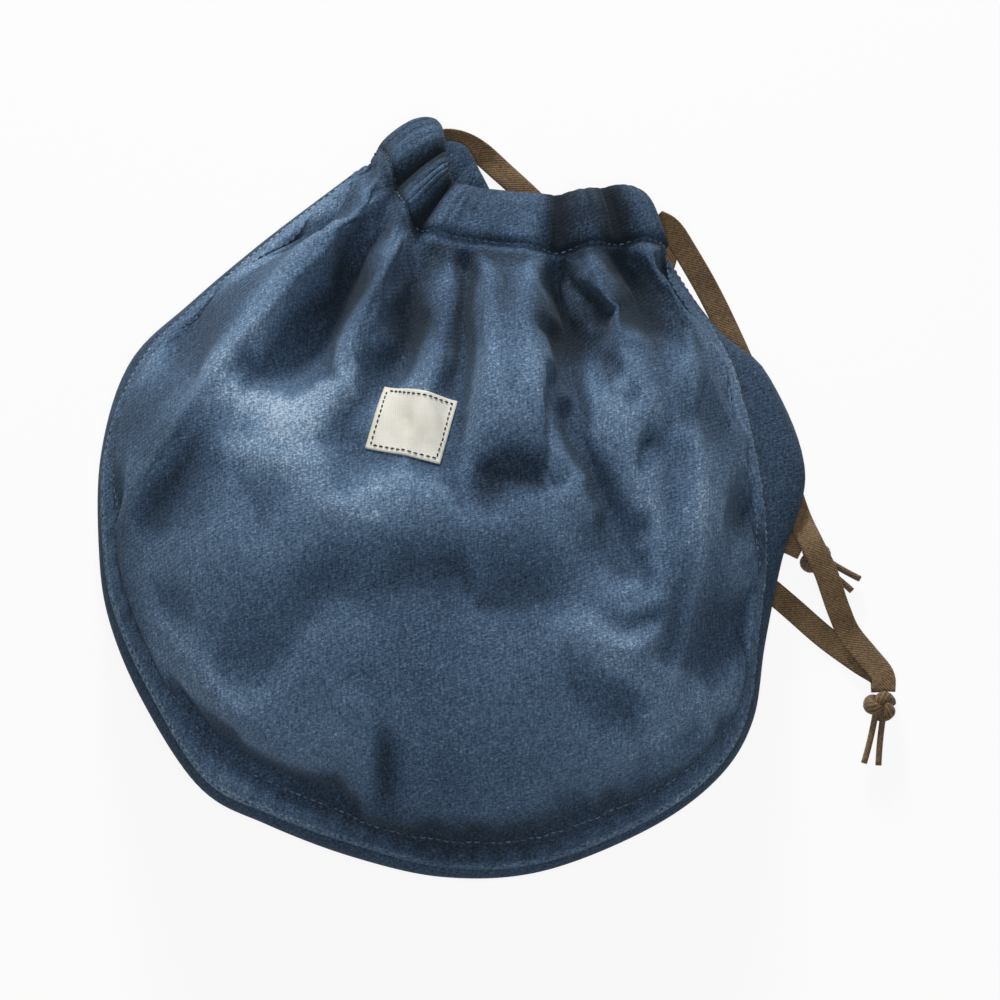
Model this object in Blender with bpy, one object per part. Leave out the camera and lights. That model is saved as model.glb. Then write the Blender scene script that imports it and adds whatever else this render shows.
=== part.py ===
"""Drawstring pouch of washed denim, softly filled, lying on its back with its mouth drawn in.

Metres, +Z up.  The pouch rests on z = 0 with its front to +Z and its mouth to +Y.
Lists of places are in millimetres and are turned to metres where they are read.
"""
import math

import bmesh
import bpy
import numpy as np
from mathutils import Vector
from mathutils.bvhtree import BVHTree

MM = 0.001

# Cloth and seams
CLOTH = 1.2 * MM
FIT_GAP = 0.3 * MM
FELL_WIDTH = 10.0 * MM
HEM_TAIL = 3.0 * MM

# Drawstring tape and the channel that is made to fit two of them side by side
TAPE_WIDTH = 10.0 * MM
TAPE_THICKNESS = 1.0 * MM
TAPE_PLAY = 0.8 * MM
EDGE_EASE = 1.4 * MM
TAPE_SPACE = 0.8 * MM
STITCH_EASE = 1.8 * MM
CHANNEL_DEPTH = 2 * TAPE_WIDTH + EDGE_EASE + TAPE_SPACE + STITCH_EASE
SLOPE_EASE = 0.5 * MM
TUNNEL_HALF = TAPE_THICKNESS / 2 + TAPE_PLAY + SLOPE_EASE + CLOTH / 2
OUTER_TAPE_AT = EDGE_EASE + TAPE_WIDTH / 2
INNER_TAPE_AT = OUTER_TAPE_AT + TAPE_WIDTH + TAPE_SPACE

# Filling
BELLY_RISE = 55.0 * MM
BELLY_SHOULDER = 50.0 * MM

# Sewn label
LABEL_WIDTH = 31.0 * MM
LABEL_HEIGHT = 29.0 * MM
LABEL_THICKNESS = 0.6 * MM
LABEL_EASE = 0.3 * MM
LABEL_AT = (-16.5 * MM, 21.0 * MM)
LABEL_TURN = math.radians(-14)

# Knots
KNOT_RADIUS = 7.0 * MM
KNOT_SQUASH = (0.78, 1.0, 0.78)
RIGHT_TAIL = 24.5 * MM
LEFT_TAIL = 21.0 * MM
TAIL_WIDTH = 4.0 * MM
TAIL_HEIGHT = 3.4 * MM
TAIL_EDGE = 1.0 * MM
TAIL_ASIDE = 1.9 * MM
TAIL_DROP = 1.0 * MM
TAIL_DIP = 4.0
TAIL_SPREAD = 3.0

# The middle of the pouch's footprint is brought to the origin
FOOTPRINT_SHIFT = Vector((1.15 * MM, -2.4 * MM, 0.0))

# Mesh steps, and the rows of cloth as shares of their way to the seam
STEPS_PER_GATHER = 3
CURVE_STEPS = 12
TAPE_STEP = 7.0 * MM
TURN_REACH = 4.0 * MM
TURN_STEPS = (0.2, 0.4, 0.6, 0.8)
FLOOR_GAP = 0.1 * MM
FRONT_SHARES = (0.06, 0.13, 0.20, 0.28, 0.37, 0.47, 0.57, 0.67, 0.77, 0.86, 0.94, 1.0)
LAP_SHARES = (0.5, 1.0)
BACK_SHARES = (0.12, 0.30, 0.52, 0.76, 1.0)
TURN_UP_ANGLES = (60, 35, 15, 0)
LABEL_STEPS = 9
KNOT_SEGMENTS = 14
KNOT_RINGS = 9

# The drawn-in mouth: a point on the channel's edge, and one that its depth runs towards
FRONT_MOUTH = [
    ((-11.0, 157.0, 15.0), (-32.0, 149.0, 14.0)),
    ((-8.0, 160.0, 20.0), (-30.0, 150.5, 20.0)),
    ((-6.0, 156.0, 25.5), (-29.0, 146.0, 25.5)),
    ((-5.0, 146.0, 29.0), (-28.0, 136.0, 31.0)),
    ((-4.0, 137.0, 30.0), (-23.0, 122.0, 35.0)),
    ((0.0, 131.0, 30.5), (-12.0, 110.0, 37.0)),
    ((7.5, 128.5, 30.5), (3.0, 104.0, 38.0)),
    ((19.0, 127.0, 30.5), (18.0, 102.0, 38.0)),
    ((36.0, 125.5, 30.0), (38.0, 100.0, 38.0)),
    ((53.0, 128.0, 28.0), (58.0, 102.0, 35.0)),
    ((66.0, 131.0, 25.0), (74.0, 107.0, 30.0)),
    ((74.0, 131.0, 21.0), (84.0, 109.0, 24.0)),
    ((78.0, 129.5, 16.5), (89.0, 108.0, 18.0)),
]
BACK_MOUTH = [
    ((-8.0, 158.0, 6.8), (-29.0, 144.0, 6.0)),
    ((3.0, 155.0, 6.6), (-18.0, 140.0, 6.0)),
    ((10.0, 143.0, 6.6), (-9.0, 126.0, 6.0)),
    ((17.0, 131.0, 6.6), (2.0, 111.0, 6.0)),
    ((28.0, 124.0, 6.6), (20.0, 100.0, 6.0)),
    ((45.0, 122.5, 6.6), (44.0, 98.0, 6.0)),
    ((62.0, 124.5, 6.6), (67.0, 100.0, 6.0)),
    ((73.0, 127.5, 6.8), (84.0, 104.0, 6.2)),
]

# The side and bottom seam, from the foot of the left slit round to the foot of the right slit,
# and how far the back panel stands out past it
SEAM = [
    ((-40.5, 143.0, 14.0), 2.0), ((-79.0, 111.0, 17.0), 3.0), ((-110.0, 83.0, 18.0), 3.5),
    ((-133.0, 57.0, 20.0), 5.0), ((-146.0, 20.0, 22.0), 2.5), ((-146.0, -20.0, 23.0), 2.5),
    ((-140.0, -50.0, 25.0), 3.5), ((-124.5, -83.0, 27.0), 4.5), ((-102.0, -118.0, 26.0), 3.5),
    ((-76.0, -132.0, 25.0), 3.5), ((-40.0, -145.0, 25.0), 4.0), ((-3.0, -154.0, 22.0), 3.0),
    ((36.0, -152.0, 19.0), 2.5), ((79.0, -135.0, 18.0), 2.5), ((107.0, -115.0, 20.0), 2.5),
    ((121.0, -92.0, 22.0), 3.0), ((126.0, -60.0, 22.0), 3.5), ((130.0, -25.0, 22.0), 7.0),
    ((127.5, 10.0, 23.0), 20.0), ((119.0, 50.0, 22.0), 14.0), ((111.0, 69.0, 19.0), 4.0),
    ((101.0, 86.0, 16.0), 1.5), ((92.0, 100.0, 15.0), 1.5),
]
SILHOUETTE_SHARE = 0.55

# Where the back leaves the floor: its distance from the side on the left and on the right,
# and the seam share over which one passes into the other
LIFT_OFF_LEFT = 45.0 * MM
LIFT_OFF_RIGHT = 105.0 * MM
LIFT_OFF_LIMIT = 0.55
RIGHT_SIDE_FROM = 0.62
RIGHT_SIDE_FADE = 0.25
TURN_UP_ROUNDNESS = 0.7
FLOOR_FROM = 0.30
SIDE_SWEEP = 1.5
SIDE_BULGE = 0.4 * MM

# Short columns beside the slits stay a little above the floor
SHORT_COLUMN = 140.0 * MM
SHORT_COLUMN_LIFT = 5.0 * MM

# Near the slits the cloth's lines bow inward, so that they meet the upper seams at an angle
BOW_SHARE = 0.22
LEFT_WEDGE = 0.25
RIGHT_WEDGE = 0.16

# The lap may take no more than this share of a short column
LAP_LIMIT = 0.4

# The shares of the way to the seam where the filling has its full height and the folds too
FULL_HEIGHT_AT = 0.5
FULL_FOLD_AT = 0.16

# The free tapes run under the right side, and the cloth lies over them there
TAPE_LIFT = 3.4 * MM
TAPE_SIDE_AT = 68.0 * MM
TAPE_SIDE_FADE = 35.0 * MM
TAPE_SIDE_TURN = math.radians(23)

# How the mouth's width is gathered, from left to right: share of the mouth, share of the seam
# that the cloth there runs down to, ruffle on the channel, fold below it (millimetres up or
# down), and the share of the way to the seam where that fold has died out
GATHERS = [
    (0.00, 0.000, 0.0, 0.0, 0.30), (0.07, 0.140, 2.0, -1.5, 0.40), (0.14, 0.262, 3.5, 6.0, 0.95),
    (0.20, 0.336, 0.5, -7.0, 0.50), (0.26, 0.420, 4.0, 8.0, 0.62), (0.32, 0.485, 0.0, -9.0, 0.50),
    (0.37, 0.540, 3.5, 7.0, 0.80), (0.43, 0.565, 0.5, 5.0, 0.40), (0.51, 0.600, 3.0, 6.0, 0.50),
    (0.60, 0.631, 3.5, 9.0, 0.85), (0.69, 0.687, 0.0, -10.0, 0.62), (0.78, 0.740, 3.5, 7.0, 0.60),
    (0.85, 0.810, 0.5, -8.0, 0.50), (0.92, 0.875, 3.0, 4.0, 0.55), (1.00, 1.000, 0.0, 0.0, 0.30),
]
FOLD_AT_STITCH = 0.35
BACK_RUFFLE_SHARE = 0.35

# The tunnel's section outside the tapes: share of the depth, share of the half height, and
# share of the ruffle that the inner and the outer wall take there
TUNNEL_SECTION = ((0.5, 1.0, 0.5, 1.0), (0.2, 1.0, 0.4, 0.9), (0.0, 0.75, 0.2, 0.5))
RUFFLE_AT_STITCH = (0.1, 0.4)
RUFFLE_AT_EDGE = 0.2

# Free ends of the tapes, from the slit to the knot: place, and how far the tape leans from
# lying flat (0) to standing on its edge (90 degrees)
RIGHT_LEG_FRONT = [
    (86.0, 123.0, 13.5, 60), (92.5, 118.0, 11.5, 30), (98.5, 109.0, 9.0, 15), (108.0, 93.0, 5.5, 5),
    (117.0, 75.0, 2.5, 0), (127.0, 52.0, 0.7, 0), (136.0, 28.0, 0.7, 0), (141.5, 9.0, 2.6, 0),
    (145.5, -6.0, 8.0, 0), (150.0, -18.0, 13.4, 0), (155.5, -29.0, 11.4, 0), (158.5, -37.0, 9.2, 0),
    (161.5, -45.0, 6.4, 0), (166.0, -54.5, 3.0, 0), (173.5, -64.5, 4.2, 0), (179.4, -73.0, 7.0, 0),
    (179.6, -79.9, 7.9, 0),
]
RIGHT_LEG_BACK = [
    (80.5, 121.5, 5.8, 0), (87.0, 118.0, 4.4, 0), (90.5, 110.5, 2.6, 0), (88.0, 101.5, 1.9, 0),
    (82.0, 92.5, 2.0, 0), (76.5, 80.0, 2.1, 0), (73.5, 66.0, 2.1, 0), (74.5, 51.0, 1.4, 0),
    (81.0, 36.0, 0.7, 0), (93.5, 18.0, 0.6, 0), (106.0, -5.0, 0.6, 0), (118.5, -23.5, 0.6, 0),
    (131.0, -34.0, 0.6, 0), (142.0, -43.5, 0.6, 0), (156.0, -56.0, 0.6, 0), (170.0, -66.5, 1.2, 0),
    (178.6, -73.0, 4.4, 0), (179.6, -79.9, 6.1, 0),
]
LEFT_LEG_FRONT = [
    (-31.0, 151.5, 9.5, 20), (-31.5, 150.5, 4.5, 20), (-29.5, 146.5, 1.4, 10), (-23.5, 138.0, 0.6, 0),
    (-8.0, 127.0, 0.6, 0), (13.0, 113.5, 0.6, 0), (40.0, 98.0, 0.6, 0), (64.0, 79.0, 0.6, 0),
    (87.0, 58.0, 0.6, 0), (104.5, 33.0, 0.6, 0), (114.0, 10.0, 0.6, 0), (121.5, -5.0, 0.6, 0),
    (131.0, -13.0, 0.8, 0), (140.0, -15.6, 3.0, 0), (147.0, -19.1, 4.7, 0),
]
LEFT_LEG_BACK = [
    (-26.5, 152.5, 6.0, 50), (-24.0, 157.0, 6.0, 90), (-14.0, 159.8, 6.0, 90), (-3.0, 161.5, 5.8, 75),
    (8.0, 156.5, 3.0, 30), (20.0, 146.5, 0.7, 0), (36.0, 131.0, 0.6, 0), (54.0, 110.5, 0.6, 0),
    (77.0, 90.0, 0.6, 0), (98.0, 68.0, 0.6, 0), (115.5, 41.0, 0.6, 0), (126.5, 13.0, 0.6, 0),
    (133.0, -1.0, 1.2, 0), (139.0, -11.0, 4.6, 0), (147.0, -19.1, 6.5, 0),
]
RIGHT_KNOT_AT = (178.5, -86.0, 7.0)
RIGHT_KNOT_HEADING = math.radians(-100)
LEFT_KNOT_AT = (152.0, -22.5, 5.6)
LEFT_KNOT_HEADING = math.radians(-34)

# Colours, linear
DENIM = (0.040, 0.068, 0.108, 1.0)
DENIM_BACK = (0.032, 0.055, 0.088, 1.0)
TAPE_BROWN = (0.150, 0.090, 0.045, 1.0)
LABEL_CREAM = (0.840, 0.820, 0.740, 1.0)


def clear_scene():
    """Remove every object that the file starts with."""
    for old in list(bpy.data.objects):
        bpy.data.objects.remove(old, do_unlink=True)


def fabric(name, colour, roughness):
    """A plain cloth material."""
    material = bpy.data.materials.new(name)
    material.use_nodes = True
    shader = material.node_tree.nodes["Principled BSDF"]
    shader.inputs["Base Color"].default_value = colour
    shader.inputs["Roughness"].default_value = roughness
    shader.inputs["Metallic"].default_value = 0.0
    return material


def smooth_curve(points):
    """A smooth curve through the points, and the distance along it of each of its samples."""
    p = np.asarray(points, float)
    ends = np.vstack([2 * p[0] - p[1], p, 2 * p[-1] - p[-2]])
    out = []
    for a, b, c, d in zip(ends[:-3], ends[1:-2], ends[2:-1], ends[3:]):
        for t in np.linspace(0, 1, CURVE_STEPS, endpoint=False):
            out.append(0.5 * (2 * b + (c - a) * t + (2 * a - 5 * b + 4 * c - d) * t * t
                              + (3 * b - a - 3 * c + d) * t ** 3))
    out.append(p[-1])
    out = np.array(out)
    along = np.concatenate([[0], np.cumsum(np.linalg.norm(np.diff(out, axis=0), axis=1))])
    return out, along


def at_share(curve, share):
    """Points of a smooth curve at shares of its length."""
    samples, along = curve
    wanted = np.asarray(share) * along[-1]
    return np.stack([np.interp(wanted, along, samples[:, k]) for k in range(samples.shape[1])], -1)


def unit(v):
    return v / np.linalg.norm(v, axis=-1, keepdims=True)


def ease(x):
    """A soft step from 0 to 1."""
    x = np.clip(x, 0.0, 1.0)
    return x * x * (3 - 2 * x)


def gather_columns():
    """The position between two gathers of every column of cloth, softly blended."""
    count = (len(GATHERS) - 1) * STEPS_PER_GATHER
    position = np.arange(count + 1) / STEPS_PER_GATHER
    left = np.minimum(position.astype(int), len(GATHERS) - 2)
    return left, position - left


def by_gather(column_values):
    """Blend one value per gather into one value per column."""
    values = np.asarray(column_values, float)
    left, part = gather_columns()
    blend = ease(part)
    return values[left] * (1 - blend) + values[left + 1] * blend


def shares(index):
    """Even steps of a share between the gathers."""
    values = np.array([g[index] for g in GATHERS])
    left, part = gather_columns()
    return values[left] * (1 - part) + values[left + 1] * part


class Mouth:
    """One side of the gathered channel: its edge line, the way its depth runs and its outside."""

    def __init__(self, stations, outside):
        edge = smooth_curve([np.array(a) * MM for a, b in stations])
        foot = smooth_curve([np.array(b) * MM for a, b in stations])
        share = shares(0)
        self.edge = at_share(edge, share)
        self.down = unit(at_share(foot, share) - self.edge)
        along = unit(np.gradient(self.edge, axis=0))
        self.out = unit(np.cross(self.down, along)) * outside

    def middle(self, depth, fold):
        """The middle of the tunnel at a depth below the edge, waved by the folds near the stitch."""
        start = OUTER_TAPE_AT + TAPE_WIDTH / 2
        share = np.clip((depth - start) / (CHANNEL_DEPTH - start), 0.0, 1.2)
        return self.edge + self.down * depth + self.out * (fold * share)[:, None]


def channel_rows(mouth, ruffle, fold):
    """Rows of the folded-over channel, from the hem inside, over the edge, to the stitch outside."""
    sewn = (CLOTH + FIT_GAP) / 2
    last_open = INNER_TAPE_AT + TAPE_WIDTH / 2
    rows = []

    def row(depth, side, half, ruffled):
        lift = half + ruffle * ruffled
        rows.append(mouth.middle(depth, fold) + mouth.out * (side * lift)[:, None])

    row(CHANNEL_DEPTH + HEM_TAIL, -1, sewn, 0.0)
    row(CHANNEL_DEPTH + HEM_TAIL / 4, -1, sewn, 0.0)
    row(last_open, -1, TUNNEL_HALF, RUFFLE_AT_STITCH[0])
    for depth, half, inner, _ in TUNNEL_SECTION:
        row(CHANNEL_DEPTH * depth, -1, TUNNEL_HALF * half, inner)
    row(-CLOTH, 1, 0.0, RUFFLE_AT_EDGE)
    for depth, half, _, outer in reversed(TUNNEL_SECTION):
        row(CHANNEL_DEPTH * depth, 1, TUNNEL_HALF * half, outer)
    row(last_open, 1, TUNNEL_HALF, RUFFLE_AT_STITCH[1])
    row(CHANNEL_DEPTH + HEM_TAIL / 4, 1, sewn, 0.0)
    return rows


def seam_line():
    """Where each column meets the seam, how far the back stands out there, and the way out."""
    curve = smooth_curve([tuple(np.array(p) * MM) + (stand * MM,) for p, stand in SEAM])
    share = shares(1)
    here = at_share(curve, share)
    step = 0.01
    ahead = at_share(curve, np.clip(share + step, 0, 1)) - at_share(curve, np.clip(share - step, 0, 1))
    outward = unit(np.stack([ahead[:, 1], -ahead[:, 0], np.zeros(len(ahead))], -1))
    return here[:, :3], here[:, 3], outward, curve[0][:, :2]


def distance_to(line, points):
    """Shortest distance in plan from each point to a dense line of points."""
    gap = points[:, None, :2] - line[None, :, :]
    return np.sqrt((gap ** 2).sum(-1)).min(1)


def fold_at(q):
    """Height of the folds on every column at a share of the way to the seam."""
    height = np.array([g[3] for g in GATHERS]) * MM
    reach = np.array([g[4] for g in GATHERS])
    growth = FOLD_AT_STITCH + (1 - FOLD_AT_STITCH) * ease(q / FULL_FOLD_AT)
    return by_gather(height * growth * (1 - ease(q / reach)))


def bow(seam, start, outward):
    """How far the cloth's lines bend inward so that they meet the upper seams at an angle."""
    share = shares(1)
    wedge = np.maximum(1 - ease(share / LEFT_WEDGE), 1 - ease((1 - share) / RIGHT_WEDGE))
    length = np.linalg.norm(seam - start, axis=1)
    return -outward * (BOW_SHARE * wedge * length)[:, None]


def front_rows(seam, outward, line, ruffle):
    """All rows of the front panel, and the number of rows that the back laps under."""
    mouth = Mouth(FRONT_MOUTH, 1.0)
    rows = channel_rows(mouth, ruffle, fold_at(0.0))
    start = rows[-1] - mouth.out * fold_at(0.0)[:, None]
    length = np.linalg.norm(seam - start, axis=1)
    lap = np.minimum(FELL_WIDTH, LAP_LIMIT * length) / length
    bend = bow(seam, start, outward)
    for share in FRONT_SHARES:
        q = share * (1 - lap)
        rows.append(body_row(start, seam, bend, line, q, share))
    for share in LAP_SHARES:
        q = 1 - lap * (1 - share)
        rows.append(body_row(start, seam, bend, line, q, 1.0))
    return mouth, rows


def body_row(start, seam, bend, line, q, fold_share):
    """One row of the filled front, on its way from the channel stitch to the seam."""
    flat = start + (seam - start) * q[:, None] + bend * np.sin(np.pi * q)[:, None]
    rise = BELLY_RISE * np.tanh(distance_to(line, flat) / BELLY_SHOULDER)
    rise = rise * np.sin(np.pi / 2 * np.clip(q / FULL_HEIGHT_AT, 0, 1))
    lift = np.zeros_like(flat)
    lift[:, 2] = rise + fold_at(fold_share)
    return flat + lift


def grid_normals(rows):
    """Unit normals of a grid of points, on the side that is outside for the front."""
    grid = np.array(rows)
    down = np.gradient(grid, axis=0)
    across = np.gradient(grid, axis=1)
    return unit(np.cross(down, across))


def over_tapes(row):
    """Hold the back off the floor on the side where the free tapes run beneath it."""
    past = row[:, 0] * math.cos(TAPE_SIDE_TURN) + row[:, 1] * math.sin(TAPE_SIDE_TURN) - TAPE_SIDE_AT
    held = CLOTH / 2 + TAPE_LIFT * ease((past + TAPE_SIDE_FADE) / TAPE_SIDE_FADE)
    row[:, 2] = np.maximum(row[:, 2], held)
    return row


def back_rows(seam, stand, outward, front, ruffle):
    """All rows of the back panel: channel, floor, the turn up at the side, the lap."""
    mouth = Mouth(BACK_MOUTH, -1.0)
    fold = np.zeros(len(seam))
    rows = channel_rows(mouth, ruffle * BACK_RUFFLE_SHARE, fold)
    start = rows[-1]
    side = seam + outward * stand[:, None]
    side[:, 2] = seam[:, 2] * SILHOUETTE_SHARE
    length = np.linalg.norm(side - start, axis=1)
    right = ease((shares(1) - RIGHT_SIDE_FROM) / RIGHT_SIDE_FADE)
    inward = LIFT_OFF_LEFT * (1 - right) + LIFT_OFF_RIGHT * right
    inward = np.minimum(inward, LIFT_OFF_LIMIT * length)
    low = CLOTH / 2 + SHORT_COLUMN_LIFT * (1 - ease(length / SHORT_COLUMN))
    way = unit(unit((start - side) * np.array([1, 1, 0])) - SIDE_SWEEP * outward)
    lift_off = side + way * inward[:, None]
    lift_off[:, 2] = low
    for q in BACK_SHARES:
        row = start + (lift_off - start) * q
        row[:, 2] = low + (start[:, 2] - low) * max(0.0, 1 - q / FLOOR_FROM) ** 2
        rows.append(over_tapes(row))
    for degrees in TURN_UP_ANGLES:
        angle = math.radians(degrees)
        row = side + way * (inward * (1 - math.cos(angle)))[:, None]
        row[:, 2] = low + (side[:, 2] - low) * (1 - math.sin(angle)) ** TURN_UP_ROUNDNESS
        rows.append(over_tapes(row))
    under = (CLOTH + FIT_GAP) * grid_normals(front)
    edge = front[-1] - under[-1]
    rows.append((side + edge) / 2 + outward * (stand / 5 + SIDE_BULGE)[:, None])
    rows.append(edge)
    rows.append(front[-2] - under[-2])
    rows.append(front[-3] - under[-3])
    return mouth, rows


def sheet(name, rows, material, thickness, inside_out=False):
    """A sheet of cloth of real thickness from rows of points on its middle surface."""
    mesh = bpy.data.meshes.new(name)
    bm = bmesh.new()
    grid = [[bm.verts.new(p) for p in row] for row in rows]
    for upper, lower in zip(grid[:-1], grid[1:]):
        for a, b, c, d in zip(upper[:-1], upper[1:], lower[1:], lower[:-1]):
            for corners in ((a, b, d), (b, c, d)) if inside_out else ((a, d, c), (a, c, b)):
                bm.faces.new(corners)
    bm.to_mesh(mesh)
    bm.free()
    mesh.shade_smooth()
    mesh.materials.append(material)
    piece = bpy.data.objects.new(name, mesh)
    bpy.context.collection.objects.link(piece)
    wall = piece.modifiers.new("cloth thickness", "SOLIDIFY")
    wall.thickness = thickness
    wall.offset = 0.0
    wall.use_even_offset = False
    return piece


def tunnel(mouth, depth, fold):
    """Both edges of one tape in one side of the channel, from left to right, and its flat side."""
    half = TAPE_WIDTH / 2
    return mouth.middle(depth - half, fold), mouth.middle(depth + half, fold), mouth.out


def reverse(stretch):
    """The same stretch of tape, run from right to left."""
    return tuple(part[::-1] for part in stretch)


def leg(route):
    """Both edges of a free stretch of tape, evenly stepped along a smooth route."""
    route = np.array(route, float) * np.array([MM, MM, MM, math.pi / 180])
    samples, _ = smooth_curve(route)
    place = np.concatenate([[0], np.cumsum(np.linalg.norm(np.diff(samples[:, :3], axis=0), axis=1))])
    wanted = np.linspace(0, place[-1], max(2, round(place[-1] / TAPE_STEP)))
    samples = np.stack([np.interp(wanted, place, samples[:, k]) for k in range(4)], -1)
    centre = samples[:, :3]
    lean = samples[:, 3:]
    along = unit(np.gradient(centre, axis=0))
    flat = unit(np.stack([-along[:, 1], along[:, 0], np.zeros(len(along))], -1))
    across = flat * np.cos(lean) + np.array([0.0, 0.0, 1.0]) * np.sin(lean)
    across = unit(across - along * (across * along).sum(1)[:, None])
    edges = [centre + side * across * TAPE_WIDTH / 2 for side in (-1, 1)]
    for edge in edges:
        edge[:, 2] = np.maximum(edge[:, 2], TAPE_THICKNESS / 2 + FLOOR_GAP)
    return edges[0], edges[1], np.cross(along, across)


def turn(before, after, reach):
    """The bend of a tape from the end of one side of the channel into the other."""
    (near_a, near_b, near_out), (far_a, far_b, far_out) = before, after
    start = (near_a[-1] + near_b[-1]) / 2
    end = (far_a[0] + far_b[0]) / 2
    leave = unit(start - (near_a[-2] + near_b[-2]) / 2) * reach
    enter = unit((far_a[1] + far_b[1]) / 2 - end) * reach
    wide_start = near_b[-1] - near_a[-1]
    wide_end = far_b[0] - far_a[0]
    edges_a, edges_b, outs = [], [], []
    for t in TURN_STEPS:
        centre = ((1 - t) ** 3 * start + 3 * (1 - t) ** 2 * t * (start + leave)
                  + 3 * (1 - t) * t * t * (end - enter) + t ** 3 * end)
        across = unit(wide_start * (1 - t) + wide_end * t) * TAPE_WIDTH / 2
        heading = (3 * (1 - t) ** 2 * leave + 6 * (1 - t) * t * (end - enter - start - leave)
                   + 3 * t * t * enter)
        edges_a.append(centre - across)
        edges_b.append(centre + across)
        outs.append(unit(np.cross(heading, across)))
    return np.array(edges_a), np.array(edges_b), np.array(outs)


def matched(stretch, other_a, other_b, other_out):
    """The stretch with its edges and faces named as those of the piece that it joins."""
    edge_a, edge_b, out = stretch
    if np.dot(edge_b[0] - edge_a[0], other_b - other_a) < 0:
        edge_a, edge_b = edge_b, edge_a
    if np.dot(out[0], other_out) < 0:
        out = -out
    return edge_a, edge_b, out


def drawstring(name, first_leg, first_side, second_side, second_leg, material):
    """One tape: knot to slit, through one side of the channel, back through the other, to the knot."""
    stretches = [reverse(leg(first_leg)), first_side, None, second_side, leg(second_leg)]
    joined = [stretches[0]]
    for k, stretch in enumerate(stretches[1:], 1):
        if stretch is None:
            last = [part[-1] for part in joined[-1]]
            stretches[k + 1] = matched(stretches[k + 1], *last)
            stretch = turn(joined[-1], stretches[k + 1], TURN_REACH)
        joined.append(matched(stretch, *[part[-1] for part in joined[-1]]))
    edge_a, edge_b, out = (np.vstack([part[k] for part in joined]) for k in range(3))
    half = out * TAPE_THICKNESS / 2
    rings = np.stack([edge_a - half, edge_b - half, edge_b + half, edge_a + half], 1)
    mesh = bpy.data.meshes.new(name)
    bm = bmesh.new()
    verts = [[bm.verts.new(p) for p in ring] for ring in rings]
    for near, far in zip(verts[:-1], verts[1:]):
        for k in range(4):
            bm.faces.new((near[k], near[(k + 1) % 4], far[(k + 1) % 4], far[k]))
    bm.faces.new(verts[0][::-1])
    bm.faces.new(verts[-1])
    bmesh.ops.recalc_face_normals(bm, faces=bm.faces[:])
    bmesh.ops.triangulate(bm, faces=bm.faces[:])
    bm.to_mesh(mesh)
    bm.free()
    mesh.materials.append(material)
    piece = bpy.data.objects.new(name, mesh)
    bpy.context.collection.objects.link(piece)
    return piece


def knot(name, place, heading, tail_length, material):
    """An overhand knot: a squashed ball of turns, with two short folded tails fused to it."""
    mesh = bpy.data.meshes.new(name)
    bm = bmesh.new()
    made = bmesh.ops.create_uvsphere(bm, u_segments=KNOT_SEGMENTS, v_segments=KNOT_RINGS,
                                     radius=KNOT_RADIUS)
    bmesh.ops.scale(bm, verts=made["verts"], vec=KNOT_SQUASH)
    bm.to_mesh(mesh)
    bm.free()
    mesh.materials.append(material)
    ball = bpy.data.objects.new(name, mesh)
    bpy.context.collection.objects.link(ball)
    ball.location = Vector(place) * MM
    ball.rotation_euler = (0, 0, heading)
    for side in (-1, 1):
        tail_mesh = bpy.data.meshes.new(name + " tail")
        bm = bmesh.new()
        bmesh.ops.create_cube(bm, size=1.0)
        bmesh.ops.scale(bm, verts=bm.verts[:], vec=(tail_length, TAIL_WIDTH, TAIL_HEIGHT))
        bmesh.ops.bevel(bm, geom=bm.edges[:], offset=TAIL_EDGE, segments=1, affect="EDGES")
        bm.to_mesh(tail_mesh)
        bm.free()
        tail = bpy.data.objects.new(name + " tail", tail_mesh)
        bpy.context.collection.objects.link(tail)
        tail.parent = ball
        tail.location = (tail_length / 2, side * TAIL_ASIDE, -TAIL_DROP)
        tail.rotation_euler = (0, math.radians(TAIL_DIP), side * math.radians(TAIL_SPREAD))
        tail.hide_render = True
        tail.display_type = "WIRE"
        join = ball.modifiers.new("tail", "BOOLEAN")
        join.operation = "UNION"
        join.object = tail
    return ball


def label(cloth, material):
    """The sewn label, laid on the front panel."""
    bpy.context.view_layer.update()
    tree = BVHTree.FromObject(cloth, bpy.context.evaluated_depsgraph_get())
    rows = []
    lift = LABEL_THICKNESS / 2 + FIT_GAP + LABEL_EASE
    for v in np.linspace(0.5, -0.5, LABEL_STEPS):
        row = []
        for h in np.linspace(-0.5, 0.5, LABEL_STEPS):
            x = h * LABEL_WIDTH
            y = v * LABEL_HEIGHT
            px = LABEL_AT[0] + x * math.cos(LABEL_TURN) - y * math.sin(LABEL_TURN)
            py = LABEL_AT[1] + x * math.sin(LABEL_TURN) + y * math.cos(LABEL_TURN)
            spot, normal, _, _ = tree.ray_cast(Vector((px, py, 1.0)), Vector((0, 0, -1)))
            row.append(spot + normal * lift)
        rows.append(row)
    return sheet("label", rows, material, LABEL_THICKNESS)


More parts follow.
